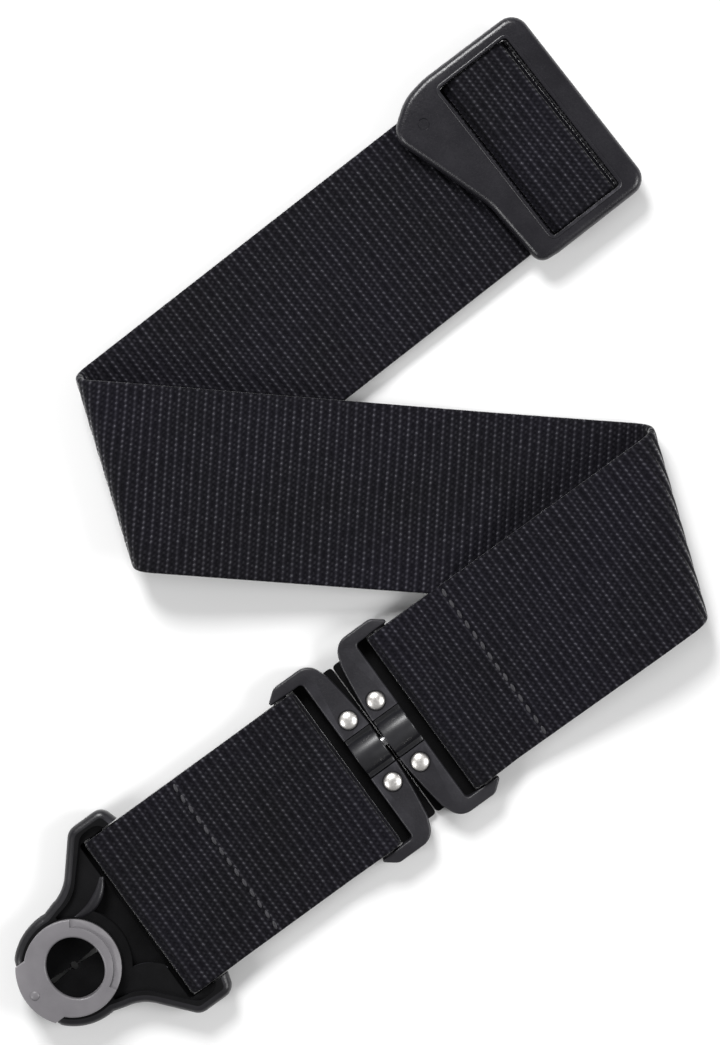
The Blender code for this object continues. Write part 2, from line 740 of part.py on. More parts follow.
def lock_back_plate(frame):
    """Bottom shell with the round entry for the strap button and two countersinks."""
    hub = HUB_RADIUS - 0.6 * MM
    corners = [(15.0 * MM, -16.0 * MM, 2.5 * MM), (15.0 * MM, 16.0 * MM, 2.5 * MM)]
    shoulder = fillet([(0.0, hub, 0.0), (0.0, -hub, 0.0), *corners], 4)[2:]
    outline = arc_points(hub, 90, 270, 28) + shoulder
    holes = [arc_points(RING_BORE, 0, 352.5, 47)]
    for side in (-1, 1):
        place = (SCREW_PLACE[0], side * SCREW_PLACE[1])
        holes.append(arc_points(SCREW_RADIUS + GAP, 0, 337.5, 15, place))
    body = plate(outline, 0.0, HOUSING_Z[0] - GAP, holes)
    for side in (-1, 1):
        x, y = SCREW_PLACE[0], side * SCREW_PLACE[1]
        sink = cylinder(2.3 * MM, (x, y, -0.4 * MM), (x, y, 0.9 * MM), 16)
        body = combine(body, sink, "DIFFERENCE")
    finish_object(body, "lock_back_plate", "frame_plastic", frame)


def lock_screw(frame, name, side):
    """A pan screw that holds the back plate to the housing, its head sunk below the face."""
    profile = [
        (0.0, 6.3 * MM),
        (SCREW_RADIUS, 6.3 * MM),
        (SCREW_RADIUS, 0.6 * MM),
        (1.9 * MM, 0.6 * MM),
        (1.9 * MM, 0.1 * MM),
        (0.0, 0.1 * MM),
    ]
    x, y = SCREW_PLACE[0], side * SCREW_PLACE[1]
    finish_object(turned(profile, 16), name, "spring_steel", frame @ Matrix.Translation((x, y, 0)))


def release_ring(frame):
    """The turning ring: flat top with a stepped groove, finger tab, and a sleeve down the bore."""
    low, high = RING_Z
    profile = [
        (RING_BORE, SLEEVE_FOOT),
        (SLEEVE_RADIUS, SLEEVE_FOOT),
        (SLEEVE_RADIUS, low),
        (RING_RADIUS, low),
        (RING_RADIUS, high - 0.9 * MM),
        (RING_RADIUS - 0.5 * MM, high - 0.5 * MM),
        (11.4 * MM, high - 0.5 * MM),
        (11.1 * MM, high),
        (RING_BORE + 0.5 * MM, high),
        (RING_BORE, high - 0.5 * MM),
    ]
    body = turned(profile, 48)
    tab_span = 180 - TAB_HALF_ANGLE, 180 + TAB_HALF_ANGLE
    inner = arc_points(RING_RADIUS - 1.0 * MM, *reversed(tab_span), 8)
    outer = arc_points(TAB_RADIUS, *tab_span, 14)
    tab = plate(outer + inner, low + 0.05 * MM, high - 0.2 * MM, bevel=0.4 * MM, segments=1)
    body = combine(body, tab, "UNION")
    pip_x = -12.4 * MM
    pip = cylinder(1.2 * MM, (pip_x, 0, high - 1.2 * MM), (pip_x, 0, high + 0.3 * MM), 14, 0.9 * MM)
    body = combine(body, pip, "UNION")
    finish_object(body, "release_ring", "ring_plastic", frame)


def ring_retainer(frame):
    """A split ring snapped round the sleeve's foot, inside the housing."""
    outer = arc_points(11.8 * MM, 12, 348, 32)
    inner = arc_points(SLEEVE_RADIUS + GAP, 348, 12, 32)
    finish_object(plate(outer + inner, *RETAINER_Z), "ring_retainer", "spring_steel", frame)


def jaw_cam_plate(frame):
    """The flat cam on the sleeve's foot that drives the two jaws."""
    outer = arc_points(14.2 * MM, 0, 350, 35)
    inner = arc_points(SLEEVE_RADIUS + GAP, 0, 350, 35)
    finish_object(plate(outer, *CAM_Z, [inner]), "jaw_cam_plate", "spring_steel", frame)


def lock_jaw(frame, name, side):
    """A half-moon jaw that closes round the button's neck and slides outwards to let it go."""
    low, high = JAW_Z
    throat = 1.0 * MM
    split = 0.16 * MM
    outer = arc_points(11.2 * MM, 6, 174, 20)
    inner = [
        Vector((-throat * math.cos(math.radians(a)), split + throat * math.sin(math.radians(a))))
        for a in range(0, 181, 15)
    ]
    outline = [Vector((p.x, p.y * side)) for p in outer + inner]
    finish_object(plate(outline, low, high), name, "saddle_metal", frame)


def return_spring(frame):
    """Two turns of wire round the ring's sleeve."""
    curve = bpy.data.curves.new("ring_return_spring", "CURVE")
    curve.dimensions = "3D"
    curve.bevel_depth = 0.2 * MM
    curve.bevel_resolution = 1
    curve.use_fill_caps = True
    turns = 1.4
    count = 30
    spline = curve.splines.new("POLY")
    spline.points.add(count)
    for k, point in enumerate(spline.points):
        angle = math.radians(20) + 2 * math.pi * turns * k / count
        height = SPRING_SEAT + 0.65 * MM + 0.45 * MM * turns * k / count
        radius = 10.65 * MM
        point.co = (radius * math.cos(angle), radius * math.sin(angle), height, 1.0)
    wire = bpy.data.objects.new("wire", curve)
    CUTTERS.objects.link(wire)
    bpy.context.view_layer.update()
    evaluated = wire.evaluated_get(bpy.context.evaluated_depsgraph_get())
    mesh = bpy.data.meshes.new_from_object(evaluated)
    bpy.data.objects.remove(wire, do_unlink=True)
    bm = bmesh.new()
    bm.from_mesh(mesh)
    bmesh.ops.remove_doubles(bm, verts=bm.verts, dist=1e-6)
    finish_object(mesh_object("spring", bm), "ring_return_spring", "spring_steel", frame)


def button_lock():
    centre = LINK_CENTRE - along(LINK_AXIS) * LINK_TO_LOCK
    frame = local_frame(LINK_AXIS, centre)
    lock_housing(frame)
    lock_back_plate(frame)
    release_ring(frame)
    ring_retainer(frame)
    jaw_cam_plate(frame)
    for number, side in ((1, 1), (2, -1)):
        lock_screw(frame, f"lock_screw_{number}", side)
    lock_jaw(frame, "lock_jaw_left", 1)
    lock_jaw(frame, "lock_jaw_right", -1)
    return_spring(frame)


def slide_adjuster(place, angle):
    frame = local_frame(angle, Vector((place.x, place.y, 0.0)))
    adjuster_frame(frame)
    adjuster_hump(frame)


def build_strap():
    place, angle = main_webbing()
    end_webbing()
    slide_adjuster(place, angle)
    swivel_link()
    button_lock()


build_strap()
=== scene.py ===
"""Looks of the Z-folded guitar strap: ribbed nylon webbing, moulded hardware, rivets and the lock."""

import json
import math

import bmesh
import bpy
import numpy as np
from mathutils import Matrix, Vector, noise


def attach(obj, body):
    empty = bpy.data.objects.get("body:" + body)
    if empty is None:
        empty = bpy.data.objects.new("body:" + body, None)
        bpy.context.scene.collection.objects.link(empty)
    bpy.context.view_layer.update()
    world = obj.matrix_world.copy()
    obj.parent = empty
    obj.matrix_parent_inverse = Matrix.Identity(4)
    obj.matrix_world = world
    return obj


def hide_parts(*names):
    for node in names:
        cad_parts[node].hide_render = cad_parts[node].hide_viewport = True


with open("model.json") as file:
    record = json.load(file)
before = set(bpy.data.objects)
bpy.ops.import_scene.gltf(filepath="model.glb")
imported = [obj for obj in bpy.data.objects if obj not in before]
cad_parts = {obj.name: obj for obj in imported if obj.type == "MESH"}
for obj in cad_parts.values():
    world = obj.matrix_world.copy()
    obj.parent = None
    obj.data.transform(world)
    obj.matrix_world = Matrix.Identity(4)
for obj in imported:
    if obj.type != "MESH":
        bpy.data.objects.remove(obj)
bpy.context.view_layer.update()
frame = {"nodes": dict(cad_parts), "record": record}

MM = 0.001
GAP = 0.3 * MM
UP = Vector((0, 0, 1))
JOINTS = {joint["name"]: joint for joint in frame["record"]["behaviour"]["joints"]}

# Webbing, as the frame has it
WEB_WIDTH = 50.8 * MM
WEB_THICK = 2.0 * MM
FOLD_RADIUS = 5.5 * MM
LOOP_RADIUS = 3.4 * MM
FLOOR_LAYER_Z = WEB_THICK / 2
SECOND_LAYER_Z = FLOOR_LAYER_Z + WEB_THICK + GAP
TAIL_PAST_LINK = 41.0 * MM
TAIL_SLOPE = math.radians(9.0)
ADJUSTER_TAIL = 118.0 * MM
RIGHT_FOLD_SKEW = math.radians(20.1)
LEFT_FOLD_SKEW = math.radians(21.1)
LINK_TO_RIGHT_FOLD = 93.3 * MM
FOLD_TO_FOLD = 144.0 * MM
FOLD_TO_ADJUSTER = 140.0 * MM

# Hardware, as the frame has it
BAR_Z = JOINTS["link_swivel"]["pos_m"][2]
BAR_RADIUS = LOOP_RADIUS - WEB_THICK / 2 - GAP
LINK_HALF_WIDTH = 29.3 * MM
SLOT_HALF_WIDTH = 25.8 * MM
LINK_SLOT_START = 9.1 * MM
LINK_BAR_X = 16.6 * MM
LINK_END_X = 20.6 * MM
LINK_EAR_X = 16.2 * MM
LINK_SILL_END = 12.4 * MM
LINK_FRAME_Z = (1.5 * MM, 7.0 * MM)
SADDLE_FLOOR = 0.6 * MM
SADDLE_HALF_WIDTH = 6.0 * MM
RIVET_X = 4.6 * MM
RIVET_Y = 10.3 * MM
RIVET_HEAD_RADIUS = 2.55 * MM
SWIVEL_RADIUS = 1.5 * MM
LOCK_BAR_X = 25.9 * MM
LOCK_SILL_END = 21.6 * MM
HUB_RADIUS = 16.3 * MM
RING_RADIUS = 13.3 * MM
RING_BORE = 8.1 * MM
TAB_RADIUS = 15.5 * MM
TAB_HALF_ANGLE = 39.0
TAB_RELIEF = 0.7 * MM
WING_HALF_WIDTH = 30.9 * MM
HOUSING_Z = (1.9 * MM, 8.4 * MM)
RING_Z = (8.7 * MM, 11.4 * MM)
SLEEVE_RADIUS = 9.6 * MM
SLEEVE_FOOT = 4.6 * MM
POCKET_RADIUS = 15.0 * MM
POCKET_ROOF = 6.2 * MM
SPRING_SEAT = 7.0 * MM
SPRING_SEAT_RADIUS = 11.5 * MM
BRINK_RADIUS = 12.7 * MM
BRINK_CENTRE = (10.5 * MM, 22.0 * MM)
ADJ_HALF_WIDTH = 29.7 * MM
ADJ_OPENING_X = 11.6 * MM
ADJ_OPENING_Y = 26.0 * MM
ADJ_RIGHT_X = 18.4 * MM
ADJ_FRAME_Z = (4.7 * MM, 9.2 * MM)
ADJ_CENTRE_BAR = (5.0 * MM, 6.4 * MM)

# Weave
RIB_PITCH = 2.42 * MM
BEAD_PITCH = 1.5 * MM
RIB_HEIGHT = 0.26 * MM
ROW_STEP = 0.5 * MM
RIB_POWER = 0.75
SELVEDGE = 0.9 * MM
SELVEDGE_FADE = 0.8 * MM
SELVEDGE_DROP = 0.10 * MM
STITCH_PITCH = 3.4 * MM
STITCHES_FROM_LINK = 37.3 * MM
STITCHES_FROM_LOCK = 51 * MM


def flat_direction(axis):
    return Vector((axis[0], axis[1], 0.0)).normalized()


LINK_CENTRE = Vector(JOINTS["link_swivel"]["pos_m"][:2] + [0.0])
LINK_AHEAD = flat_direction(JOINTS["link_swivel"]["axis"])
LINK_ANGLE = math.atan2(LINK_AHEAD.y, LINK_AHEAD.x)
LOCK_CENTRE = Vector(JOINTS["ring_turn"]["pos_m"][:2] + [0.0])
LINK_TO_LOCK = (LOCK_CENTRE - LINK_CENTRE).length


def local_frame(angle, centre):
    return Matrix.Translation(centre) @ Matrix.Rotation(angle, 4, "Z")


UPPER_LINK = local_frame(LINK_ANGLE, LINK_CENTRE)
LOWER_LINK = local_frame(LINK_ANGLE + math.pi, LINK_CENTRE)
LOCK = local_frame(LINK_ANGLE, LOCK_CENTRE)


# ---------------------------------------------------------------- materials


class Nodes:
    """A short way to write a node tree: every call adds a node and returns its output socket."""

    def __init__(self, name):
        self.material = bpy.data.materials.new(name)
        self.material.use_nodes = True
        self.tree = self.material.node_tree
        self.shader = self.tree.nodes["Principled BSDF"]

    def set(self, **values):
        for name, value in values.items():
            self.put(self.shader.inputs[name.replace("_", " ")], value)
        return self

    def put(self, socket, value):
        if isinstance(value, bpy.types.NodeSocket):
            self.tree.links.new(value, socket)
        elif value is not None:
            socket.default_value = value

    def math(self, operation, first, second=None, third=None):
        node = self.tree.nodes.new("ShaderNodeMath")
        node.operation = operation
        for socket, value in zip(node.inputs, (first, second, third)):
            self.put(socket, value)
        return node.outputs[0]

    def wave(self, value, turns=1.0):
        """A smooth wave from 0 to 1, one crest for each whole number of value."""
        angle = self.math("MULTIPLY", value, 2 * math.pi * turns)
        return self.math("MULTIPLY_ADD", self.math("COSINE", angle), 0.5, 0.5)

    def noise(self, scale, detail=2.0, roughness=0.5, stretch=(1, 1, 1), vector=None):
        if vector is None:
            vector = self.tree.nodes.new("ShaderNodeTexCoord").outputs["Object"]
        mapping = self.tree.nodes.new("ShaderNodeMapping")
        mapping.inputs["Scale"].default_value = stretch
        self.put(mapping.inputs["Vector"], vector)
        node = self.tree.nodes.new("ShaderNodeTexNoise")
        node.inputs["Scale"].default_value = scale
        node.inputs["Detail"].default_value = detail
        node.inputs["Roughness"].default_value = roughness
        self.put(node.inputs["Vector"], mapping.outputs[0])
        return node.outputs["Fac"]

    def ramp(self, value, low, high, start=0.0, end=1.0):
        """value from low..high becomes start..end, held at the ends."""
        node = self.tree.nodes.new("ShaderNodeMapRange")
        self.put(node.inputs["Value"], value)
        limits = ("From Min", low), ("From Max", high), ("To Min", start), ("To Max", end)
        for name, number in limits:
            self.put(node.inputs[name], number)
        return node.outputs[0]

    def mix(self, factor, first, second):
        node = self.tree.nodes.new("ShaderNodeMix")
        node.data_type = "RGBA"
        self.put(node.inputs["Factor"], factor)
        for name, colour in (("A", first), ("B", second)):
            socket = next(s for s in node.inputs if s.name == name and s.type == "RGBA")
            value = (*colour, 1.0) if isinstance(colour, tuple) else colour
            self.put(socket, value)
        return next(s for s in node.outputs if s.type == "RGBA")

    def bump(self, height, distance, strength=1.0, below=None):
        node = self.tree.nodes.new("ShaderNodeBump")
        node.inputs["Strength"].default_value = strength
        node.inputs["Distance"].default_value = distance
        self.put(node.inputs["Height"], height)
        self.put(node.inputs["Normal"], below)
        return node.outputs["Normal"]

    def edge(self, low=0.52, high=0.6):
        """1 on convex edges, 0 on faces; worn edges on the mouldings, a painted highlight on the gloss
        black.
        """
        geometry = self.tree.nodes.new("ShaderNodeNewGeometry")
        return self.ramp(geometry.outputs["Pointiness"], low, high)


def webbing_material():
    """Black nylon: crosswise ribs of small slanted floats with fine yarn fibres; highlights are painted
    paler on the rib crests and floats, and shade is painted near-black in the grooves between.
    """
    n = Nodes("webbing_nylon")
    uv = n.tree.nodes.new("ShaderNodeUVMap")
    uv.uv_map = "weave"
    parts = n.tree.nodes.new("ShaderNodeSeparateXYZ")
    n.put(parts.inputs[0], uv.outputs[0])
    row = n.math("ADD", parts.outputs["X"], n.math("MULTIPLY_ADD", n.noise(45.0, 2.0), 0.3, -0.15))
    across = n.math("ADD", parts.outputs["Y"], n.math("MULTIPLY_ADD", n.noise(75.0, 2.0), 0.9, -0.45))
    number = n.math("FLOOR", n.math("ADD", row, 0.5))
    local = n.math("SUBTRACT", row, number)
    shift = n.math("MULTIPLY_ADD", number, 0.5, n.math("MULTIPLY", local, 0.5))
    rib = n.wave(row)
    bead = n.wave(n.math("ADD", across, shift))
    uneven = n.ramp(n.noise(520.0, 2.0, 0.7), 0.36, 0.66, 0.1, 1.3)
    spots = n.math("MULTIPLY", n.math("POWER", bead, 1.6), uneven)
    line = n.math("MULTIPLY", n.math("POWER", rib, 6.0), n.math("MULTIPLY_ADD", spots, 0.85, 0.15))
    valley = n.math("POWER", n.math("SUBTRACT", 1.0, rib), 5.0)
    sunken = n.math("MULTIPLY", n.math("SUBTRACT", 1.0, bead), uneven)
    line = n.math("MULTIPLY_ADD", n.math("MULTIPLY", valley, sunken), 0.28, line)
    groove = n.ramp(rib, 0.02, 0.34)
    body = n.math("MULTIPLY", groove, n.math("MULTIPLY_ADD", bead, 0.55, 0.45))
    fibres = n.noise(3200.0, 3.0, 0.6)
    height = n.math("MULTIPLY_ADD", fibres, 0.2, n.math("MULTIPLY_ADD", body, 0.6, line))
    patch = n.ramp(n.noise(24.0, 3.0, 0.6), 0.3, 0.7)
    # painted shade: low is the near-black of the grooves; painted highlight: crest is the pale of lit crests
    # and floats
    low = n.mix(patch, (0.0022, 0.0021, 0.0029), (0.0030, 0.0027, 0.0046))
    middle = n.mix(patch, (0.0058, 0.0055, 0.0072), (0.0072, 0.0066, 0.0104))
    crest = n.mix(patch, (0.031, 0.030, 0.037), (0.042, 0.040, 0.054))
    colour = n.mix(n.math("MULTIPLY", body, n.ramp(fibres, 0.3, 0.7, 0.6, 1.1)), low, middle)
    colour = n.mix(line, colour, crest)
    n.set(Base_Color=colour, Roughness=n.ramp(line, 0.0, 0.8, 0.75, 0.5))
    n.set(Specular_IOR_Level=n.ramp(line, 0.0, 0.8, 0.05, 0.3))
    n.set(Normal=n.bump(height, 0.0003, 0.6), Sheen_Weight=0.4, Sheen_Roughness=0.3)
    return n.material


def thread_material():
    n = Nodes("stitch_thread")
    twist = n.noise(900.0, 2.0, 0.5, (1, 1, 4))
    colour = n.mix(twist, (0.012, 0.012, 0.014), (0.055, 0.053, 0.061))
    n.set(Base_Color=colour, Roughness=n.ramp(twist, 0.2, 0.8, 0.4, 0.65))
    n.set(Normal=n.bump(twist, 0.0001, 0.8), Sheen_Weight=0.05, Specular_IOR_Level=0.3)
    return n.material


def moulded_material(name, dark, light, rough, grain, worn):
    """Fine-grained moulded plastic, rubbed paler along its edges."""
    n = Nodes(name)
    fine = n.noise(1900.0, 3.0, 0.55)
    broad = n.noise(70.0, 3.0, 0.6)
    colour = n.mix(n.ramp(broad, 0.3, 0.7), dark, light)
    wear = n.math("MULTIPLY", n.edge(), n.ramp(n.noise(240.0, 3.0), 0.35, 0.65, 0.15, 0.8))
    colour = n.mix(wear, colour, worn)
    speckle = n.ramp(fine, 0.2, 0.8, rough - 0.06, rough + 0.08)
    gloss = n.math("ADD", speckle, n.ramp(broad, 0.3, 0.7, -0.04, 0.04))
    n.set(Base_Color=colour, Roughness=gloss, Normal=n.bump(fine, grain, 0.7))
    n.set(Specular_IOR_Level=0.42)
    return n.material


def metal_material(name, dark, light, rough, brushed):
    n = Nodes(name)
    broad = n.noise(220.0, 3.0, 0.6)
    lines = n.noise(1500.0, 2.0, 0.5, brushed)
    colour = n.mix(n.ramp(broad, 0.3, 0.7), dark, light)
    n.set(Base_Color=colour, Roughness=n.ramp(lines, 0.25, 0.75, rough - 0.06, rough + 0.1))
    n.set(Metallic=1.0, Normal=n.bump(lines, 0.00004, 0.5))
    return n.material


def painted_shade_material():
    """Near-black painted shade for the insides of slots, pockets and gaps, far darker than the plastic round
    them.
    """
    n = Nodes("painted_shade_black")
    fine = n.noise(1400.0, 3.0, 0.6)
    colour = n.mix(n.ramp(n.noise(150.0, 3.0), 0.3, 0.7), (0.0012, 0.0012, 0.0015), (0.0035, 0.0034, 0.004))
    n.set(Base_Color=colour, Roughness=n.ramp(fine, 0.2, 0.8, 0.6, 0.8))
    n.set(Normal=n.bump(fine, 0.00006, 0.6), Specular_IOR_Level=0.12)
    return n.material


def gloss_black_material():
    n = Nodes("gloss_black_enamel")
    broad = n.noise(130.0, 3.0, 0.6)
    colour = n.mix(n.ramp(broad, 0.3, 0.7), (0.008, 0.008, 0.010), (0.016, 0.016, 0.019))
    # painted highlight: convex edges are painted paler grey
    colour = n.mix(n.edge(0.53, 0.62), colour, (0.07, 0.07, 0.075))
    n.set(Base_Color=colour, Roughness=n.ramp(broad, 0.2, 0.8, 0.34, 0.46))
    n.set(Normal=n.bump(n.noise(600.0), 0.00003, 0.5), Coat_Weight=0.12, Coat_Roughness=0.3)
    return n.material


MATERIALS = {
    "webbing": webbing_material(),
    "thread": thread_material(),
    "frame_plastic": moulded_material(
        "frame_moulding",
        dark=(0.0085, 0.0080, 0.0105),
        light=(0.0145, 0.0138, 0.0172),
        rough=0.38,
        grain=0.00009,
        worn=(0.045, 0.044, 0.052),
    ),
    "adjuster_plastic": moulded_material(
        "adjuster_moulding",
        dark=(0.0075, 0.0070, 0.0095),
        light=(0.0125, 0.0118, 0.0152),
        rough=0.27,
        grain=0.00007,
        worn=(0.06, 0.058, 0.068),
    ),
    "lock_plastic": moulded_material(
        "lock_moulding",
        dark=(0.0065, 0.0062, 0.0078),
        light=(0.0105, 0.0100, 0.0124),
        rough=0.34,
        grain=0.00006,
        worn=(0.05, 0.049, 0.057),
    ),
    "ring_plastic": moulded_material(
        "ring_moulding",
        dark=(0.140, 0.134, 0.143),
        light=(0.180, 0.172, 0.182),
        rough=0.34,
        grain=0.00007,
        worn=(0.30, 0.29, 0.30),
    ),
    "painted_shade": painted_shade_material(),
    "saddle_metal": gloss_black_material(),
    "bright_steel": metal_material("bright_steel", (0.80, 0.77, 0.74), (0.92, 0.90, 0.87), 0.36, (1, 1, 6)),
    "spring_steel": metal_material("spring_steel", (0.30, 0.30, 0.31), (0.48, 0.48, 0.49), 0.34, (1, 1, 5)),
}


# ---------------------------------------------------------------- placing


def put(obj, name, body, look, replaces=()):
    """Gives a piece its name, material, body and the frame nodes that it stands for."""
    obj.name = name
    obj.data.name = name
    if not obj.data.materials:
        obj.data.materials.append(MATERIALS[look])
    if obj.name not in bpy.context.scene.collection.objects:
        bpy.context.scene.collection.objects.link(obj)
    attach(obj, body)
    if replaces:
        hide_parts(*replaces)
    return obj


def smooth(obj, degrees=38):
    obj.data.shade_smooth()
    obj.data.set_sharp_from_angle(angle=math.radians(degrees))
    return obj


def paint_shade(obj, inside):
    """Gives the faces whose middle satisfies inside(x, y, z) the near-black of painted shade."""
    obj.data.materials.append(MATERIALS["painted_shade"])
    for face in obj.data.polygons:
        if inside(*face.center):
            face.material_index = len(obj.data.materials) - 1
    return obj


def mesh_object(name, bm):
    bmesh.ops.recalc_face_normals(bm, faces=bm.faces)
    mesh = bpy.data.meshes.new(name)
    bm.to_mesh(mesh)
    bm.free()
    obj = bpy.data.objects.new(name, mesh)
    bpy.context.scene.collection.objects.link(obj)
    return obj


def apply_modifiers(obj):
    bpy.context.view_layer.update()
    evaluated = obj.evaluated_get(bpy.context.evaluated_depsgraph_get())
    fresh = bpy.data.meshes.new_from_object(evaluated)
    obj.modifiers.clear()
    obj.data = fresh
    return obj


def tidy(obj, distance=1e-6):
    """Joins doubled vertices and turns all faces outwards."""
    bm = bmesh.new()
    bm.from_mesh(obj.data)
    bmesh.ops.remove_doubles(bm, verts=bm.verts, dist=distance)
    bmesh.ops.dissolve_degenerate(bm, edges=bm.edges, dist=distance / 2)
    bmesh.ops.recalc_face_normals(bm, faces=bm.faces)
    bm.to_mesh(obj.data)
    bm.free()
    return obj


# ---------------------------------------------------------------- solids


def fillet(corners, steps=10):
    """The outline through corners (x, y, radius), each rounded by an arc of its radius."""
    outline = []
    count = len(corners)
    for i, (x, y, radius) in enumerate(corners):
        here = Vector((x, y))
        if radius <= 0:
            outline.append(here)
            continue
        back = (Vector(corners[i - 1][:2]) - here).normalized()
        ahead = (Vector(corners[(i + 1) % count][:2]) - here).normalized()
        half = math.acos(max(-1.0, min(1.0, back.dot(ahead)))) / 2
        centre = here + (back + ahead).normalized() * (radius / math.sin(half))
        first = here + back * (radius / math.tan(half)) - centre
        last = here + ahead * (radius / math.tan(half)) - centre
        sweep = first.angle_signed(last)
        for k in range(steps + 1):
            turned_point = first.copy()
            turned_point.rotate(Matrix.Rotation(-sweep * k / steps, 2))
            outline.append(centre + turned_point)
    return outline


def arc_points(radius, start, end, steps, centre=(0.0, 0.0)):
    span = math.radians(end - start)
    begin = math.radians(start)
    return [
        Vector(
            (
                centre[0] + radius * math.cos(begin + span * k / steps),
                centre[1] + radius * math.sin(begin + span * k / steps),
            )
        )
        for k in range(steps + 1)
    ]


def plate(outline, low, high, holes=(), bevel=0.0, hole_bevel=None, segments=4, clamp=True):
    """A flat outline with holes; its outer edges are rounded by bevel, its holes' by hole_bevel."""
    curve = bpy.data.curves.new("outline", "CURVE")
    curve.dimensions = "2D"
    curve.fill_mode = "BOTH"
    curve.extrude = (high - low) / 2
    for points in (outline, *holes):
        spline = curve.splines.new("POLY")
        spline.points.add(len(points) - 1)
        for point, place in zip(spline.points, points):
            point.co = (place[0], place[1], 0.0, 1.0)
        spline.use_cyclic_u = True
    shape = bpy.data.objects.new("outline", curve)
    bpy.context.scene.collection.objects.link(shape)
    bpy.context.view_layer.update()
    evaluated = shape.evaluated_get(bpy.context.evaluated_depsgraph_get())
    mesh = bpy.data.meshes.new_from_object(evaluated)
    bpy.data.objects.remove(shape, do_unlink=True)
    bm = bmesh.new()
    bm.from_mesh(mesh)
    bmesh.ops.remove_doubles(bm, verts=bm.verts, dist=1e-6)
    bmesh.ops.translate(bm, verts=bm.verts, vec=(0, 0, (high + low) / 2))
    bmesh.ops.dissolve_limit(bm, angle_limit=math.radians(0.5), verts=bm.verts, edges=bm.edges)
    bmesh.ops.recalc_face_normals(bm, faces=bm.faces)
    hole_points = {(round(p[0], 6), round(p[1], 6)) for hole in holes for p in hole}
    rims = [e for e in bm.edges if len(e.link_faces) == 2 and e.calc_face_angle() > 1.2]
    level = [e for e in rims if abs(e.verts[0].co.z - e.verts[1].co.z) < 1e-7]
    inner = [e for e in level if (round(e.verts[0].co.x, 6), round(e.verts[0].co.y, 6)) in hole_points]
    outer = [e for e in level if e not in set(inner)]
    for edges, width in ((outer, bevel), (inner, bevel if hole_bevel is None else hole_bevel)):
        if edges and width > 0:
            rounding = {"segments": segments, "profile": 0.5, "affect": "EDGES", "clamp_overlap": clamp}
            bmesh.ops.bevel(bm, geom=edges, offset=width, **rounding)
    return tidy(mesh_object("plate", bm), 0.005 * MM)


def cylinder(radius, start, end, sides=48, top_radius=None):
    start = Vector(start)
    end = Vector(end)
    bm = bmesh.new()
    bmesh.ops.create_cone(
        bm,
        cap_ends=True,
        segments=sides,
        radius1=radius,
        radius2=radius if top_radius is None else top_radius,
        depth=(end - start).length,
    )
    turn = (end - start).to_track_quat("Z", "Y").to_matrix().to_4x4()
    bmesh.ops.transform(bm, matrix=Matrix.Translation((start + end) / 2) @ turn, verts=bm.verts)
    return mesh_object("cylinder", bm)


def box(low, high):
    bm = bmesh.new()
    bmesh.ops.create_cube(bm, size=1.0)
    bmesh.ops.scale(bm, vec=Vector(high) - Vector(low), verts=bm.verts)
    bmesh.ops.translate(bm, vec=(Vector(high) + Vector(low)) / 2, verts=bm.verts)
    return mesh_object("box", bm)


def turned(profile, steps=96):
    """A solid of revolution about Z from (radius, height) points that run round its section."""
    mesh = bpy.data.meshes.new("turned")
    points = [(radius, 0.0, height) for radius, height in profile]
    count = len(points)
    closed = profile[0][0] > 0
    edges = [(i, (i + 1) % count) for i in range(count if closed else count - 1)]
    mesh.from_pydata(points, edges, [])
    obj = bpy.data.objects.new("turned", mesh)
    bpy.context.scene.collection.objects.link(obj)
    screw = obj.modifiers.new("turn", "SCREW")
    screw.steps = steps
    screw.render_steps = steps
    screw.use_merge_vertices = True
    screw.merge_threshold = 1e-6
    return tidy(apply_modifiers(obj))


def combine(obj, other, operation):
    step = obj.modifiers.new(operation.lower(), "BOOLEAN")
    step.operation = operation
    step.solver = "EXACT"
    step.object = other
    apply_modifiers(obj)
    bpy.data.objects.remove(other, do_unlink=True)
    return obj


def union(body, part):
    return combine(body, part, "UNION")


def minus(body, tool):
    return combine(body, tool, "DIFFERENCE")


def place(obj, where):
    obj.data.transform(where)
    return obj


# ---------------------------------------------------------------- webbing


class BandWalk:
    """Walks along the middle of a flat band and keeps, at each station, the ruling across it."""

    def __init__(self, start, heading, normal):
        self.place = Vector(start)
        self.heading = Vector(heading).normalized()
        self.normal = Vector(normal).normalized()
        self.skew = 0.0
        self.length = 0.0
        self.stations = []
        self.mark()

    def mark(self):
        across = self.normal.cross(self.heading)
        lean = across + self.heading * math.tan(self.skew)
        self.stations.append(
            (self.length, math.tan(self.skew), tuple(self.place), tuple(lean), tuple(self.normal))
        )

    def run(self, length, skew=None):
        steps = max(1, math.ceil(length / (4 * MM))) if skew is None else 1
        for _ in range(steps):
            self.place += self.heading * (length / steps)
            self.length += length / steps
            if skew is not None:
                self.skew = skew
            self.mark()

    def bend(self, angle, radius, step_degrees=2.0):
        across = self.normal.cross(self.heading)
        axis = (across * math.cos(self.skew) + self.heading * math.sin(self.skew)).normalized()
        steps = max(3, math.ceil(abs(math.degrees(angle)) / step_degrees))
        part = angle / steps
        half_turn = Matrix.Rotation(part / 2, 3, axis)
        for _ in range(steps):
            self.turn(half_turn)
            level = (self.heading - axis * self.heading.dot(axis)).normalized()
            self.place += level * (2 * radius * math.sin(abs(part) / 2))
            self.place += axis * (radius * abs(part) * math.tan(self.skew))
            self.length += radius * abs(part) / math.cos(self.skew)
            self.turn(half_turn)
            self.mark()

    def turn(self, rotation):
        self.heading = (rotation @ self.heading).normalized()
        self.normal = (rotation @ self.normal).normalized()


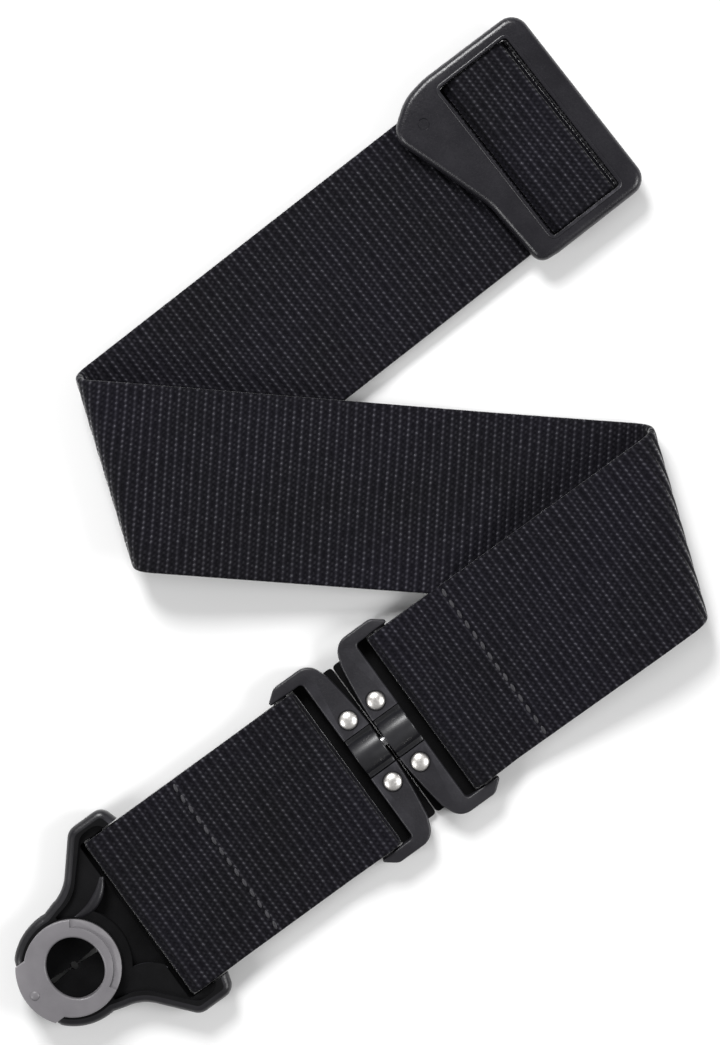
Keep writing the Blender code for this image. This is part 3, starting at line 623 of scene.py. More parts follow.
class BandSurface:
    """Where a point of the flat band lies once it is folded: s along it, w across it."""

    def __init__(self, stations):
        self.length = stations[-1][0]
        self.s = np.array([station[0] for station in stations])
        self.tan = np.array([station[1] for station in stations])
        self.middle = np.array([station[2] for station in stations])
        self.lean = np.array([station[3] for station in stations])
        self.normal = np.array([station[4] for station in stations])

    def at(self, s, w):
        reached = self.s + w * self.tan
        points = self.middle + w * self.lean
        place_at = np.stack([np.interp(s, reached, points[:, k]) for k in range(3)], axis=-1)
        normal = np.stack([np.interp(s, reached, self.normal[:, k]) for k in range(3)], axis=-1)
        normal /= np.linalg.norm(normal, axis=-1, keepdims=True)
        return place_at, normal


def columns():
    """Places across the band, closer together at its rounded edges."""
    half = WEB_WIDTH / 2
    inner = np.linspace(-(half - 1.6 * MM), half - 1.6 * MM, 33)
    edge = half - np.array([1.15, 0.75, 0.45, 0.22, 0.07, 0.0]) * MM
    return np.concatenate([-edge[::-1], inner, edge])


def webbing_mesh(name, surface, closed=False):
    """The band as ribbed cloth of its real thickness, with smooth rolled selvedges."""
    half = WEB_WIDTH / 2
    rows = round(surface.length / ROW_STEP)
    ribs = round(surface.length / RIB_PITCH)
    s = np.linspace(0.0, surface.length, rows + 1)
    if closed:
        s = s[:-1]
    w = columns()
    count = len(w)
    rib = (0.5 + 0.5 * np.cos(2 * np.pi * ribs * s / surface.length)) ** RIB_POWER
    back_rib = (0.5 + 0.5 * np.cos(2 * np.pi * (ribs * s / surface.length + 0.5))) ** RIB_POWER
    loops = []
    marks = []
    for side, ridge, order in ((1, rib, range(count)), (-1, back_rib, range(count - 2, 0, -1))):
        for i in order:
            middle, normal = surface.at(s, w[i])
            inside = max(0.0, half - abs(w[i]))
            roundness = math.sqrt(max(0.0, 1 - (1 - min(1.0, inside / SELVEDGE)) ** 2))
            ribbed = min(1.0, max(0.0, (inside - SELVEDGE) / SELVEDGE_FADE))
            thick = WEB_THICK / 2 * roundness - RIB_HEIGHT * ribbed * (1 - ridge)
            thick = thick - SELVEDGE_DROP * (1 - ribbed) * roundness
            loops.append(middle + normal * (side * thick)[:, None])
            marks.append(w[i])
    around = len(loops)
    points = np.stack(loops, axis=1).reshape(-1, 3)
    total = len(s)
    mesh = bpy.data.meshes.new(name)
    faces = []
    uvs = []
    last = total if closed else total - 1
    unit = ribs / surface.length
    bead = 1.0 / BEAD_PITCH
    for k in range(last):
        near = k * around
        far = ((k + 1) % total) * around
        u0 = s[k] * unit
        u1 = (k + 1) * (surface.length / rows) * unit
        for i in range(around):
            j = (i + 1) % around
            faces.append((near + i, far + i, far + j, near + j))
            v0 = marks[i] * bead
            v1 = marks[j] * bead
            uvs += [(u0, v0), (u1, v0), (u1, v1), (u0, v1)]
    if not closed:
        for start, flip in ((0, False), ((total - 1) * around, True)):
            end_u = s[-1 if flip else 0] * unit
            caps = [(i, i + 1, (around - i - 1) % around, (around - i) % around) for i in range(count - 2)]
            for cap in (*caps, (count - 2, count - 1, count)):
                corners = list(dict.fromkeys(cap))
                if flip:
                    corners.reverse()
                faces.append(tuple(start + c for c in corners))
                uvs += [(end_u, marks[c] * bead) for c in corners]
    mesh.from_pydata(points.tolist(), [], faces)
    layer = mesh.uv_layers.new(name="weave")
    layer.data.foreach_set("uv", np.array(uvs, dtype=np.float32).ravel())
    mesh.validate()
    obj = bpy.data.objects.new(name, mesh)
    bpy.context.scene.collection.objects.link(obj)
    bm = bmesh.new()
    bm.from_mesh(mesh)
    bmesh.ops.recalc_face_normals(bm, faces=bm.faces)
    bm.to_mesh(mesh)
    bm.free()
    mesh.shade_smooth()
    return obj


def walk_main_webbing():
    """From the stitched tail at the link, round its bar, over both folds, and back at the adjuster."""
    ahead = LINK_AHEAD
    foot_x = LINK_BAR_X + 2.0 * MM
    foot_bend = 12.0 * MM
    slope_x = foot_x + foot_bend * math.sin(TAIL_SLOPE)
    slope_z = FLOOR_LAYER_Z + foot_bend * (1 - math.cos(TAIL_SLOPE))
    tail_run = (TAIL_PAST_LINK - slope_x) / math.cos(TAIL_SLOPE)
    tail_end = LINK_CENTRE + ahead * TAIL_PAST_LINK + UP * (slope_z + tail_run * math.sin(TAIL_SLOPE))
    heading = -ahead * math.cos(TAIL_SLOPE) - UP * math.sin(TAIL_SLOPE)
    normal = ahead * math.sin(TAIL_SLOPE) - UP * math.cos(TAIL_SLOPE)
    walk = BandWalk(tail_end, heading, normal)
    walk.run(tail_run)
    walk.bend(TAIL_SLOPE, foot_bend)
    walk.run(foot_x - LINK_BAR_X)
    walk.bend(math.pi, LOOP_RADIUS, 4)
    dip = math.radians(18.0)
    walk.bend(dip, 6.0 * MM)
    rise_bend = 9.0 * MM
    flat_x = (walk.place - LINK_CENTRE).dot(ahead) + rise_bend * (math.sin(dip) + math.sin(TAIL_SLOPE))
    flat_z = walk.place.z - rise_bend * (math.cos(TAIL_SLOPE) - math.cos(dip))
    spare = (flat_z - slope_z) * math.cos(TAIL_SLOPE) - (flat_x - slope_x) * math.sin(TAIL_SLOPE)
    walk.run((spare - WEB_THICK - GAP) / math.sin(dip + TAIL_SLOPE))
    walk.bend(-(dip + TAIL_SLOPE), rise_bend)
    level_radius = 40.0 * MM
    top_z = FLOOR_LAYER_Z + 2 * FOLD_RADIUS
    rise = top_z - walk.place.z - level_radius * (1 - math.cos(TAIL_SLOPE))
    walk.run(rise / math.sin(TAIL_SLOPE))
    walk.bend(TAIL_SLOPE, level_radius)
    walk.run(LINK_TO_RIGHT_FOLD - (walk.place - LINK_CENTRE).dot(ahead), skew=RIGHT_FOLD_SKEW)
    walk.bend(math.pi, FOLD_RADIUS)
    slope_skew = (RIGHT_FOLD_SKEW + LEFT_FOLD_SKEW) / 2
    climb = math.radians(8.0)
    climb_radius = 60.0 * MM
    height = SECOND_LAYER_Z + 2 * FOLD_RADIUS - walk.place.z
    straight = (height - 2 * climb_radius * (1 - math.cos(climb))) / math.sin(climb)
    ramp = (straight + 2 * climb_radius * math.sin(climb)) / math.cos(slope_skew)
    walk.run(FOLD_TO_FOLD - ramp - 2.0 * MM, skew=slope_skew)
    walk.bend(climb, climb_radius)
    walk.run(straight / math.cos(slope_skew))
    walk.bend(-climb, climb_radius)
    walk.run(2.0 * MM, skew=LEFT_FOLD_SKEW)
    walk.bend(-math.pi, FOLD_RADIUS)
    walk.run(14.0 * MM, skew=0.0)
    walk.run(FOLD_TO_ADJUSTER - 14.0 * MM)
    adjuster = walk.place.copy()
    heading = walk.heading.copy()
    walk.run(10.0 * MM)
    walk.bend(math.pi, (WEB_THICK + GAP) / 2, 8)
    walk.run(ADJUSTER_TAIL)
    return walk.stations, adjuster, heading


def walk_end_webbing():
    """The closed band round the lower link's bar and the lock's bar, pinched where it is stitched."""
    ahead = LINK_AHEAD
    span = LINK_TO_LOCK - LINK_BAR_X - LOCK_BAR_X
    pinch = math.radians(10.0)
    radius = 8.0 * MM
    drop = LOOP_RADIUS - (WEB_THICK + GAP) / 2
    straight = (drop - 2 * radius * (1 - math.cos(pinch))) / math.sin(pinch)
    reach = straight * math.cos(pinch) + 2 * radius * math.sin(pinch)
    walk = BandWalk(LINK_CENTRE - ahead * LINK_BAR_X + UP * (BAR_Z + LOOP_RADIUS), -ahead, UP)
    for _ in range(2):
        walk.bend(pinch, radius)
        walk.run(straight)
        walk.bend(-pinch, radius)
        walk.run(span - 2 * reach)
        walk.bend(-pinch, radius)
        walk.run(straight)
        walk.bend(pinch, radius)
        walk.bend(math.pi, LOOP_RADIUS, 4)
    return walk.stations


def stitch_row(name, surface, row_s, side, body):
    """One straight row of stitches across the band, each a short raised bead of thread."""
    half = WEB_WIDTH / 2 - 2.4 * MM
    count = int(2 * half // STITCH_PITCH)
    bm = bmesh.new()
    for k in range(count + 1):
        w = -half + 2 * half * k / count
        middle, normal = surface.at(np.array([row_s]), w)
        beside, _ = surface.at(np.array([row_s]), w + 0.5 * MM)
        ahead, _ = surface.at(np.array([row_s + 0.5 * MM]), w)
        out = Vector(normal[0]) * side
        across = (Vector(beside[0]) - Vector(middle[0])).normalized()
        jitter = noise.noise(Vector((k * 1.7, row_s * 900, 0.0)))
        along_band = (Vector(ahead[0]) - Vector(middle[0])).normalized()
        centre = Vector(middle[0]) + out * (WEB_THICK / 2 - 0.12 * MM) + along_band * (0.15 * MM * jitter)
        made = bmesh.ops.create_uvsphere(bm, u_segments=12, v_segments=8, radius=1.0)["verts"]
        lean = (across + along_band * (0.18 + 0.1 * jitter)).normalized()
        side_way = out.cross(lean)
        basis = Matrix((lean * 1.3 * MM, side_way * 0.52 * MM, out * 0.42 * MM)).transposed().to_4x4()
        basis.translation = centre
        bmesh.ops.transform(bm, matrix=basis, verts=made)
    obj = smooth(mesh_object(name, bm))
    return put(obj, name, body, "thread")


def build_webbing():
    stations, adjuster, heading = walk_main_webbing()
    surface = BandSurface(stations)
    band = webbing_mesh("main_webbing_cloth", surface)
    put(band, "main_webbing_cloth", "strap", "webbing", replaces=("main_webbing",))
    link_flat = np.linspace(0.0, surface.length, 4000)
    middle, _ = surface.at(link_flat, 0.0)
    reach = (middle - np.array(LINK_CENTRE)) @ np.array(LINK_AHEAD)
    first_run = (reach > 36 * MM) & (reach < 38 * MM) & (link_flat < 120 * MM)
    tail_s = link_flat[(link_flat < 15 * MM) & (np.abs(reach - STITCHES_FROM_LINK) < 0.6 * MM)].mean()
    top_s = link_flat[first_run & (link_flat > 20 * MM)].mean()
    rows = [
        stitch_row("main_stitches_top", surface, float(top_s), 1, "strap"),
        stitch_row("main_stitches_under", surface, float(tail_s), 1, "strap"),
    ]
    loop = BandSurface(walk_end_webbing())
    short = webbing_mesh("end_webbing_cloth", loop, closed=True)
    put(short, "end_webbing_cloth", "end_band", "webbing", replaces=("end_webbing",))
    top = np.linspace(0.0, loop.length / 2, 3000)
    middle, _ = loop.at(top, 0.0)
    from_lock = np.linalg.norm((middle - np.array(LOCK_CENTRE))[:, :2], axis=1)
    row_s = float(top[np.argmin(np.abs(from_lock - STITCHES_FROM_LOCK))])
    rows = [
        stitch_row("end_stitches_top", loop, row_s, 1, "end_band"),
        stitch_row("end_stitches_under", loop, loop.length - row_s, 1, "end_band"),
    ]
    return adjuster, math.atan2(heading.y, heading.x)


# ---------------------------------------------------------------- slide adjuster


def adjuster_hump(where):
    """The climb of the webbing over the centre bar, ribbed like the rest of the band."""
    rest = SECOND_LAYER_Z + WEB_THICK / 2 + GAP + 0.8 * MM
    half_run = ADJ_OPENING_X - 1.6 * MM
    lift = ADJ_CENTRE_BAR[1] + GAP + WEB_THICK / 2 - rest
    x = np.linspace(-half_run, half_run, 81)
    ramp = np.where(x < 0, half_run - ADJ_CENTRE_BAR[0], 2.6 * MM)
    edge = np.minimum(1.0, (half_run - np.abs(x)) / ramp)
    z = rest + lift * np.sin(edge * np.pi / 2)
    path = np.stack([x, np.zeros_like(x), z], axis=1)
    path = path @ np.array(where.to_3x3()).T + np.array(where.translation)
    step = np.gradient(path, axis=0)
    step /= np.linalg.norm(step, axis=1, keepdims=True)
    across = np.array(where.to_3x3() @ Vector((0, 1, 0)))
    lengths = np.concatenate([[0], np.cumsum(np.linalg.norm(np.diff(path, axis=0), axis=1))])
    stations = []
    for s, point, heading in zip(lengths, path, step):
        normal = np.cross(heading, across)
        normal = normal if normal[2] > 0 else -normal
        stations.append((float(s), 0.0, tuple(point), tuple(np.cross(normal, heading)), tuple(normal)))
    surface = BandSurface(stations)
    obj = webbing_mesh("adjuster_hump_cloth", surface)
    put(obj, "adjuster_hump_cloth", "adjuster", "webbing", replaces=("adjuster_webbing_hump",))


def rectangle(half_x, half_y, corner):
    signs = ((-1, -1), (1, -1), (1, 1), (-1, 1))
    return fillet([(x * half_x, y * half_y, corner) for x, y in signs], 6)


def adjuster_moulding(where):
    """The frame: its wide bar, a lip round the opening, the centre bar, and a rail under each side."""
    low, high = ADJ_FRAME_Z
    wide_bar = (
        (-13.5 * MM, ADJ_HALF_WIDTH + 0.5 * MM, 28 * MM),
        (-20.5 * MM, 28.9 * MM, 15 * MM),
        (-29.6 * MM, 22.6 * MM, 6 * MM),
        (-25.0 * MM, 8.5 * MM, 20 * MM),
        (-20.0 * MM, -8.0 * MM, 20 * MM),
        (-18.9 * MM, -29.0 * MM, 3.5 * MM),
    )
    corners = [
        (ADJ_RIGHT_X, -ADJ_HALF_WIDTH, 5 * MM),
        (ADJ_RIGHT_X, ADJ_HALF_WIDTH, 5 * MM),
        *wide_bar,
        (-13.0 * MM, -ADJ_HALF_WIDTH, 4 * MM),
    ]
    opening_y = ADJ_OPENING_Y - 0.55 * MM
    opening = rectangle(ADJ_OPENING_X, opening_y, 1.2 * MM)
    body = plate(fillet(corners, 8), low, high, [opening], 2.15 * MM, 0.5 * MM, segments=6, clamp=False)
    edge = 0.95 * MM
    rim = rectangle(ADJ_OPENING_X + edge, opening_y + edge, 2.0 * MM)
    lip = plate(rim, high - 1.2 * MM, high + 0.3 * MM, [opening], bevel=0.4 * MM, hole_bevel=0.35 * MM)
    body = union(body, lip)
    bar_x, bar_top = ADJ_CENTRE_BAR
    bar_y = ADJ_OPENING_Y + 1.0 * MM
    body = union(body, box((-bar_x, -bar_y, low + 0.3 * MM), (bar_x, bar_y, bar_top)))
    for side in (-1, 1):
        near, far = sorted((side * (ADJ_OPENING_Y + 0.2 * MM), side * (ADJ_HALF_WIDTH - 0.9 * MM)))
        ends = [(-13 * MM, near, MM), (14 * MM, near, MM), (14 * MM, far, MM), (-13 * MM, far, MM)]
        rail = plate(fillet(ends, 5), 2.4 * MM, low + 1.9 * MM, bevel=0.4 * MM)
        body = union(body, rail)
    x, y = -20.5 * MM, 20.3 * MM
    dimple = cylinder(1.5 * MM, (x, y, high - 0.25 * MM), (x, y, high + MM), 32, top_radius=2.2 * MM)
    body = minus(body, dimple)
    place(smooth(body), where)
    stands_for = ("adjuster_frame",)
    put(body, "adjuster_moulding", "adjuster", "adjuster_plastic", replaces=stands_for)


# ---------------------------------------------------------------- swivel link


def bowed_edge(offset, steps=24):
    half = LINK_HALF_WIDTH - 6.0 * MM
    points = []
    for k in range(steps + 1):
        y = half - 2 * half * k / steps
        points.append((offset + 2.0 * MM * (y / half) ** 2, y, 0.0))
    return points


def link_moulding(where, name, body_name, node):
    low, high = LINK_FRAME_Z
    corners = [
        (LINK_END_X, -SLOT_HALF_WIDTH, 0.6 * MM),
        (LINK_SLOT_START, -SLOT_HALF_WIDTH, 1.2 * MM),
        (LINK_SLOT_START, SLOT_HALF_WIDTH, 1.2 * MM),
        (LINK_END_X, SLOT_HALF_WIDTH, 0.6 * MM),
        (LINK_EAR_X, LINK_HALF_WIDTH, 3.0 * MM),
        (4.6 * MM, LINK_HALF_WIDTH, 5.0 * MM),
        *bowed_edge(0.35 * MM),
        (4.6 * MM, -LINK_HALF_WIDTH, 5.0 * MM),
        (LINK_EAR_X, -LINK_HALF_WIDTH, 3.0 * MM),
    ]
    body = plate(fillet(corners, 8), low, high, bevel=1.0 * MM)
    notch = SADDLE_HALF_WIDTH + GAP
    cut = box((-1 * MM, -notch, low - MM), (LINK_SLOT_START + MM, notch, high + MM))
    body = minus(body, cut)
    bridge_end = (LINK_SLOT_START - 0.1 * MM, notch + 0.5 * MM, low + SADDLE_FLOOR)
    bridge = box((0.6 * MM, -notch - 0.5 * MM, low + 0.05 * MM), bridge_end)
    body = union(body, bridge)
    sill_reach = SLOT_HALF_WIDTH + 0.4 * MM
    sill_end = (LINK_SILL_END, sill_reach, low + 0.5 * MM)
    sill = box((LINK_SLOT_START - 0.4 * MM, -sill_reach, low + 0.1 * MM), sill_end)
    body = union(body, sill)
    reach = SLOT_HALF_WIDTH + 1.0 * MM
    bar = cylinder(BAR_RADIUS, (LINK_BAR_X, -reach, BAR_Z), (LINK_BAR_X, reach, BAR_Z), 40)
    body = union(body, bar)
    for side in (-1, 1):
        seat = cylinder(
            RIVET_HEAD_RADIUS + 0.35 * MM,
            (RIVET_X, side * RIVET_Y, high - 0.35 * MM),
            (RIVET_X, side * RIVET_Y, high + MM),
            40,
        )
        body = minus(body, seat)
    body.data.materials.clear()
    body.data.materials.append(MATERIALS["frame_plastic"])
    # painted shade: faces near the frame's bottom, within the slot's width, are painted near-black
    paint_shade(body, lambda x, y, z: z < low + 0.6 * MM and abs(y) < SLOT_HALF_WIDTH)
    place(smooth(body), where)
    put(body, name, body_name, "frame_plastic", replaces=(node,))


def link_saddle(where, name, body_name, node):
    """A glossy half barrel with rolled lips at its feet."""
    outer = SADDLE_HALF_WIDTH - 1.1 * MM
    bore = SWIVEL_RADIUS + GAP
    floor_z = LINK_FRAME_Z[0] + SADDLE_FLOOR + GAP
    arch = arc_points(outer, 8, 172, 40, (0.0, BAR_Z - 0.2 * MM))
    outline = [
        Vector((SADDLE_HALF_WIDTH, floor_z)),
        Vector((SADDLE_HALF_WIDTH, BAR_Z + 0.9 * MM)),
        Vector((SADDLE_HALF_WIDTH - 0.5 * MM, BAR_Z + 1.15 * MM)),
        *arch[2:-2],
        Vector((-SADDLE_HALF_WIDTH + 0.5 * MM, BAR_Z + 1.15 * MM)),
        Vector((-SADDLE_HALF_WIDTH, BAR_Z + 0.9 * MM)),
        Vector((-SADDLE_HALF_WIDTH, floor_z)),
    ]
    body = plate(outline, 0.6 * MM, LINK_SLOT_START - 0.1 * MM, bevel=0.35 * MM)
    body.data.transform(Matrix(((0, 0, 1, 0), (1, 0, 0, 0), (0, 1, 0, 0), (0, 0, 0, 1))))
    hole = cylinder(bore, (-MM, 0, BAR_Z), (LINK_SLOT_START - 2.6 * MM, 0, BAR_Z), 40)
    body = minus(body, hole)
    head = cylinder(bore + 0.5 * MM, (4.2 * MM, 0, BAR_Z), (LINK_SLOT_START - 2.6 * MM, 0, BAR_Z), 40)
    body = minus(body, head)
    place(smooth(tidy(body)), where)
    put(body, name, body_name, "saddle_metal", replaces=(node,))


def link_rivet(where, name, body_name, node, side):
    """A domed head with a small flat rim, on a shank down to the back plate."""
    top = LINK_FRAME_Z[1] - 0.3 * MM
    dome = 1.55 * MM
    shank = 1.15 * MM
    profile = [(0.0, top + dome)]
    for k in range(1, 11):
        a = math.radians(90 - 8.2 * k)
        profile.append((RIVET_HEAD_RADIUS * math.cos(a), top + 0.25 * MM + (dome - 0.25 * MM) * math.sin(a)))
    profile += [(RIVET_HEAD_RADIUS, top + 0.2 * MM), (RIVET_HEAD_RADIUS - 0.1 * MM, top)]
    profile += [(shank, top), (shank, 0.5 * MM), (0.0, 0.5 * MM)]
    obj = smooth(turned(profile, 48), 50)
    place(obj, where @ Matrix.Translation((RIVET_X, side * RIVET_Y, 0)))
    put(obj, name, body_name, "bright_steel", replaces=(node,))


def build_link():
    for half, where in (("upper", UPPER_LINK), ("lower", LOWER_LINK)):
        body = half + "_link"
        link_moulding(where, body + "_moulding", body, body + "_frame")
        link_saddle(where, body + "_barrel", body, body + "_saddle")
        for number, side in ((1, 1), (2, -1)):
            node = f"{body}_rivet_{number}"
            link_rivet(where, node + "_dome", body, node, side)


# ---------------------------------------------------------------- button lock


def tab_cover(angle):
    """1 where the ring's finger tab lies over the hub's rim, falling to 0 beside it."""
    return max(0.0, min(1.0, (TAB_HALF_ANGLE + 4.0 - abs(angle - 180.0)) / 8.0))


def lock_outline(inset=0.0):
    """Hub, S-curved flanks and the two wings beside the webbing; inset moves it inwards."""
    wing = WING_HALF_WIDTH - inset
    flank = [
        (33.0 * MM - inset, 25.9 * MM - inset, 0.0),
        (31.5 * MM - inset, wing, 3.5 * MM),
        (20.5 * MM + inset * 0.6, wing, 4.0 * MM),
        (9.5 * MM + inset * 0.4, 18.0 * MM - inset, 12.0 * MM),
    ]
    hub = HUB_RADIUS - inset
    top = fillet([(33.0 * MM - inset, 0.0, 0.0), *flank, (0.0, hub * 1.005, 0.0)], 12)[1:-1]
    round_end = [
        Vector((r * math.cos(math.radians(a)), r * math.sin(math.radians(a))))
        for a, r in ((a, hub - TAB_RELIEF * tab_cover(a)) for a in range(84, 277, 3))
    ]
    return top + round_end + [Vector((p.x, -p.y)) for p in reversed(top)]


def mirrored(outline):
    return outline + [Vector((p.x, -p.y)) for p in reversed(outline)]


def upright(radius, low, high):
    return cylinder(radius, (0, 0, low), (0, 0, high), 96)


def lock_moulding():
    """The shell: a raised rim, a shelf inside it, and a deep well, with shade painted near-black in the
    well, round the ring and low in the slot.
    """
    low, high = HOUSING_Z
    body = plate(lock_outline(), low, high, bevel=2.1 * MM, segments=6, clamp=False)
    front = LOCK_SILL_END - 1.2 * MM
    slot = fillet(
        [
            (front, -SLOT_HALF_WIDTH, 1 * MM),
            (40 * MM, -SLOT_HALF_WIDTH, 0),
            (40 * MM, SLOT_HALF_WIDTH, 0),
            (front, SLOT_HALF_WIDTH, 1 * MM),
        ],
        6,
    )
    body = minus(body, plate(slot, low - MM, high + MM))
    reach = SLOT_HALF_WIDTH + 0.6 * MM
    sill = box((15.0 * MM, -reach, low + 0.1 * MM), (LOCK_SILL_END, reach, low + 0.5 * MM))
    sill = combine(sill, plate(lock_outline(0.4 * MM), low - MM, high + MM), "INTERSECT")
    body = union(body, sill)
    hub = HUB_RADIUS - 0.3 * MM
    shelf = plate(lock_outline(3.0 * MM), 6.9 * MM, high + MM)
    inner = upright(RING_RADIUS + 0.3 * MM, low, high + 2 * MM)
    shelf = minus(shelf, inner)
    shelf = minus(shelf, box((-20 * MM, -40 * MM, 0), (4.0 * MM, 40 * MM, 12 * MM)))
    body = minus(body, shelf)
    brink = arc_points(BRINK_RADIUS, -112, -22, 24, BRINK_CENTRE)
    outline = mirrored([Vector((40 * MM, brink[-1].y)), *reversed(brink)])
    well = plate(outline, 2.6 * MM, high + MM)
    well = minus(well, upright(hub, low, high + 2 * MM))
    body = minus(body, well)
    body = minus(body, upright(POCKET_RADIUS, low - MM, POCKET_ROOF))
    bore = upright(SLEEVE_RADIUS + 2 * GAP, low, high + MM)
    body = minus(body, bore)
    seat = upright(SPRING_SEAT_RADIUS, SPRING_SEAT, high + MM)
    body = minus(body, seat)
    reach = SLOT_HALF_WIDTH + 1.2 * MM
    bar = cylinder(BAR_RADIUS, (LOCK_BAR_X, -reach, BAR_Z), (LOCK_BAR_X, reach, BAR_Z), 40)
    body = union(body, bar)
    body.data.materials.clear()
    body.data.materials.append(MATERIALS["lock_plastic"])

    # painted shade: faces by the ring, in the well and low in the slot are painted near-black
    def in_painted_shade(x, y, z):
        from_ring = math.hypot(x, y)
        near_ring = x > 4.0 * MM and from_ring < HUB_RADIUS + 0.3 * MM and z < high - 0.4 * MM
        return near_ring or from_ring < 12.0 * MM or (z < 6.7 * MM and abs(y) < SLOT_HALF_WIDTH)

    paint_shade(body, in_painted_shade)
    place(smooth(body), LOCK)
    put(body, "lock_moulding", "lock", "lock_plastic", replaces=("lock_housing",))


def lock_shelf_rolls():
    """The rolled edge of each shelf, where it drops into the well; the lower one is the smaller."""
    sides = 16
    wide, tall, inset = 1.5, 1.15, 0.9
    for number, side, height, size in ((1, 1, 6.35 * MM, 1.0), (2, -1, 6.05 * MM, 0.7)):
        path = arc_points(BRINK_RADIUS, -104, -34, 40, BRINK_CENTRE)
        bm = bmesh.new()
        rings = []
        for k, point in enumerate(path):
            taper = 0.35 + 0.65 * math.sin(math.pi * (0.08 + 0.84 * k / (len(path) - 1)))
            thick = taper * size
            outward = (Vector((point.x, point.y, 0)) - Vector((*BRINK_CENTRE, 0))).normalized()
            ring = []
            for j in range(sides):
                a = 2 * math.pi * j / sides
                swell = outward * (math.cos(a) * wide * thick - inset) + UP * (math.sin(a) * tall * thick)
                place_at = Vector((point.x, point.y, height)) + swell * MM
                ring.append(bm.verts.new((place_at.x, place_at.y * side, place_at.z)))
            rings.append(ring)
        for first, second in zip(rings, rings[1:]):
            for j in range(sides):
                bm.faces.new((first[j], second[j], second[(j + 1) % sides], first[(j + 1) % sides]))
        bm.faces.new(rings[0])
        bm.faces.new(list(reversed(rings[-1])))
        obj = mesh_object("roll", bm)
        place(smooth(obj), LOCK)
        put(obj, f"lock_shelf_roll_{number}", "lock", "lock_plastic")


def ring_moulding():
    """The turning ring: flat face, a step round one side, a flush finger tab and a plain pip."""
    low, high = RING_Z
    face = arc_points(RING_RADIUS, 0, 357, 119)
    opening = [
        Vector((0.7 * MM + 7.7 * MM * math.cos(a), -0.3 * MM + 8.55 * MM * math.sin(a)))
        for a in (2 * math.pi * k / 96 for k in range(96))
    ]
    body = plate(face, low, high, [opening], bevel=0.45 * MM, hole_bevel=0.6 * MM)
    sleeve = turned(
        [
            (RING_BORE + 0.75 * MM, SLEEVE_FOOT),
            (SLEEVE_RADIUS, SLEEVE_FOOT),
            (SLEEVE_RADIUS, low + 0.4 * MM),
            (RING_BORE + 0.75 * MM, low + 0.4 * MM),
        ],
        96,
    )
    body = union(body, sleeve)
    step = plate(
        arc_points(RING_RADIUS + MM, -62, 58, 40) + arc_points(11.1 * MM, 58, -62, 40),
        high - 0.6 * MM,
        high + MM,
    )
    body = minus(body, step)
    edge_y = 9.3 * MM
    half_angle = math.degrees(math.asin(edge_y / TAB_RADIUS))
    meet = -math.sqrt((RING_RADIUS - 0.1 * MM) ** 2 - edge_y**2)
    outer = arc_points(TAB_RADIUS, 180 - half_angle, 180 + half_angle, 36)
    inner = arc_points(10.0 * MM, 222, 138, 24)
    outline = [Vector((meet, edge_y)), *outer, Vector((meet, -edge_y)), *inner]
    tab = plate(outline, low + 0.1 * MM, high - 0.03 * MM, bevel=0.3 * MM)
    body = union(body, tab)
    profile = [(0.0, high + 0.5 * MM)]
    profile += [
        (1.35 * MM * math.sin(a), high - 0.1 * MM + 0.6 * MM * math.cos(a))
        for a in (math.radians(15 * k) for k in range(1, 7))
    ]
    profile += [(1.35 * MM, high - MM), (0.0, high - MM)]
    pip = turned(profile, 40)
    place(pip, Matrix.Translation((-12.5 * MM, 0, 0)))
    body = union(body, pip)
    place(smooth(body, 32), LOCK)
    put(body, "release_ring_moulding", "ring", "ring_plastic", replaces=("release_ring",))


# ---------------------------------------------------------------- stage


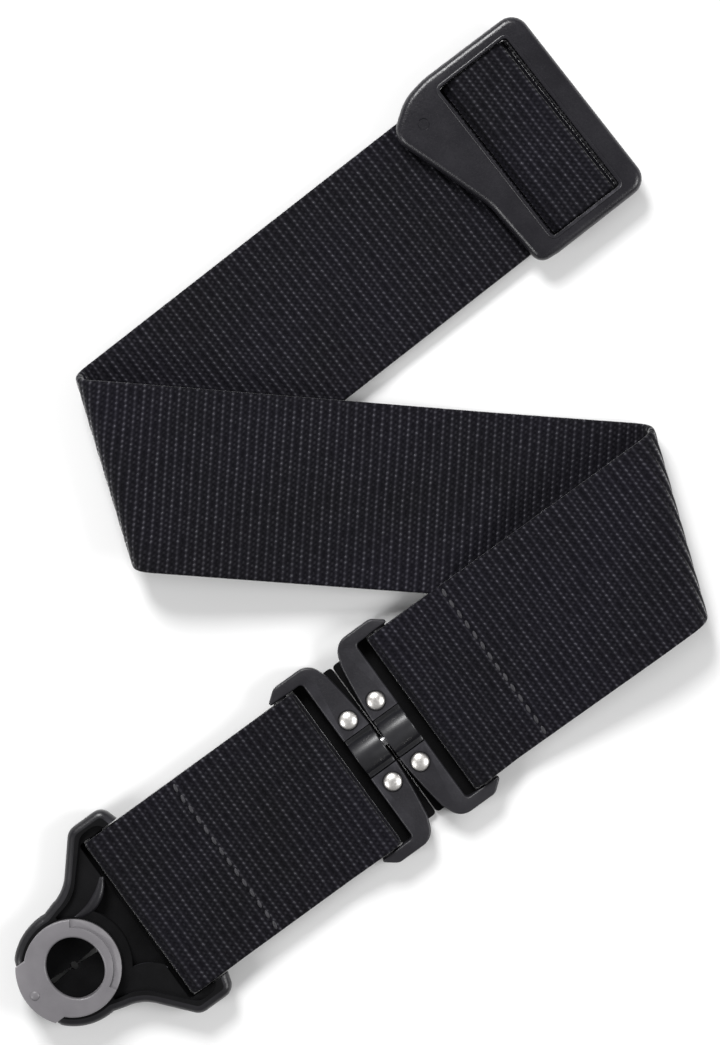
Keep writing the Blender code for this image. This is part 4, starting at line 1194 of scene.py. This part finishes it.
def build_stage():
    bpy.ops.mesh.primitive_plane_add(size=6.0, location=(0, 0, -0.0003))
    floor = bpy.context.object
    floor.name = "floor"
    n = Nodes("pale_floor")
    colour = n.mix(n.noise(3.0, 3.0), (0.80, 0.80, 0.80), (0.84, 0.84, 0.84))
    n.set(Base_Color=colour, Roughness=n.ramp(n.noise(9.0), 0.3, 0.7, 0.75, 0.9))
    floor.data.materials.append(n.material)
    world = bpy.data.worlds.new("studio")
    world.use_nodes = True
    world.node_tree.nodes["Background"].inputs["Color"].default_value = (1.0, 1.0, 1.0, 1.0)
    world.node_tree.nodes["Background"].inputs["Strength"].default_value = 0.3
    bpy.context.scene.world = world
    area_light("key", (-0.35, 0.85, 0.85), 16.0, 0.5)
    area_light("fill", (0.95, -0.1, 0.75), 8.0, 0.6)
    area_light("rim", (-0.85, -0.5, 0.65), 5.0, 0.5)
    bpy.context.scene.view_settings.view_transform = "Standard"


def area_light(name, where, power, size):
    data = bpy.data.lights.new(name, "AREA")
    data.energy = power
    data.shape = "DISK"
    data.size = size
    lamp = bpy.data.objects.new(name, data)
    lamp.location = where
    lamp.rotation_euler = (-Vector(where)).to_track_quat("-Z", "Y").to_euler()
    bpy.context.scene.collection.objects.link(lamp)


def build_camera():
    """Straight above the strap, level with the table, as a long lens sees it."""
    data = bpy.data.cameras.new("camera")
    camera = bpy.data.objects.new("camera", data)
    height = 1.006
    strap_middle_z = 6 * MM
    view_span = 284.7 * MM
    sensor = 36.0
    data.sensor_width = sensor
    data.lens = sensor * (height - strap_middle_z) / view_span
    data.clip_start = 0.05
    camera.location = (-0.42 * MM, -0.14 * MM, height)
    bpy.context.scene.collection.objects.link(camera)
    bpy.context.scene.camera = camera


def dress_frame_nodes():
    """Procedural materials for the frame's own nodes that stay in view; the link back plates, the jaws and
    the cam plate are painted near-black as shade.
    """
    looks = {
        "swivel_pin": "spring_steel",
        "upper_link_back_plate": "painted_shade",
        "lower_link_back_plate": "painted_shade",
        "lock_back_plate": "lock_plastic",
        "lock_jaw_left": "painted_shade",
        "lock_jaw_right": "painted_shade",
        "jaw_cam_plate": "painted_shade",
        "ring_retainer": "spring_steel",
        "ring_return_spring": "spring_steel",
        "lock_screw_1": "spring_steel",
        "lock_screw_2": "spring_steel",
    }
    for node, look in looks.items():
        slots = frame["nodes"][node].material_slots
        for k in range(len(slots)):
            slots[k].material = MATERIALS[look]


build_camera()
build_stage()
ADJUSTER_PLACE, ADJUSTER_ANGLE = build_webbing()
ADJUSTER = local_frame(ADJUSTER_ANGLE, Vector((ADJUSTER_PLACE.x, ADJUSTER_PLACE.y, 0.0)))
adjuster_moulding(ADJUSTER)
adjuster_hump(ADJUSTER)
build_link()
lock_moulding()
lock_shelf_rolls()
ring_moulding()
dress_frame_nodes()
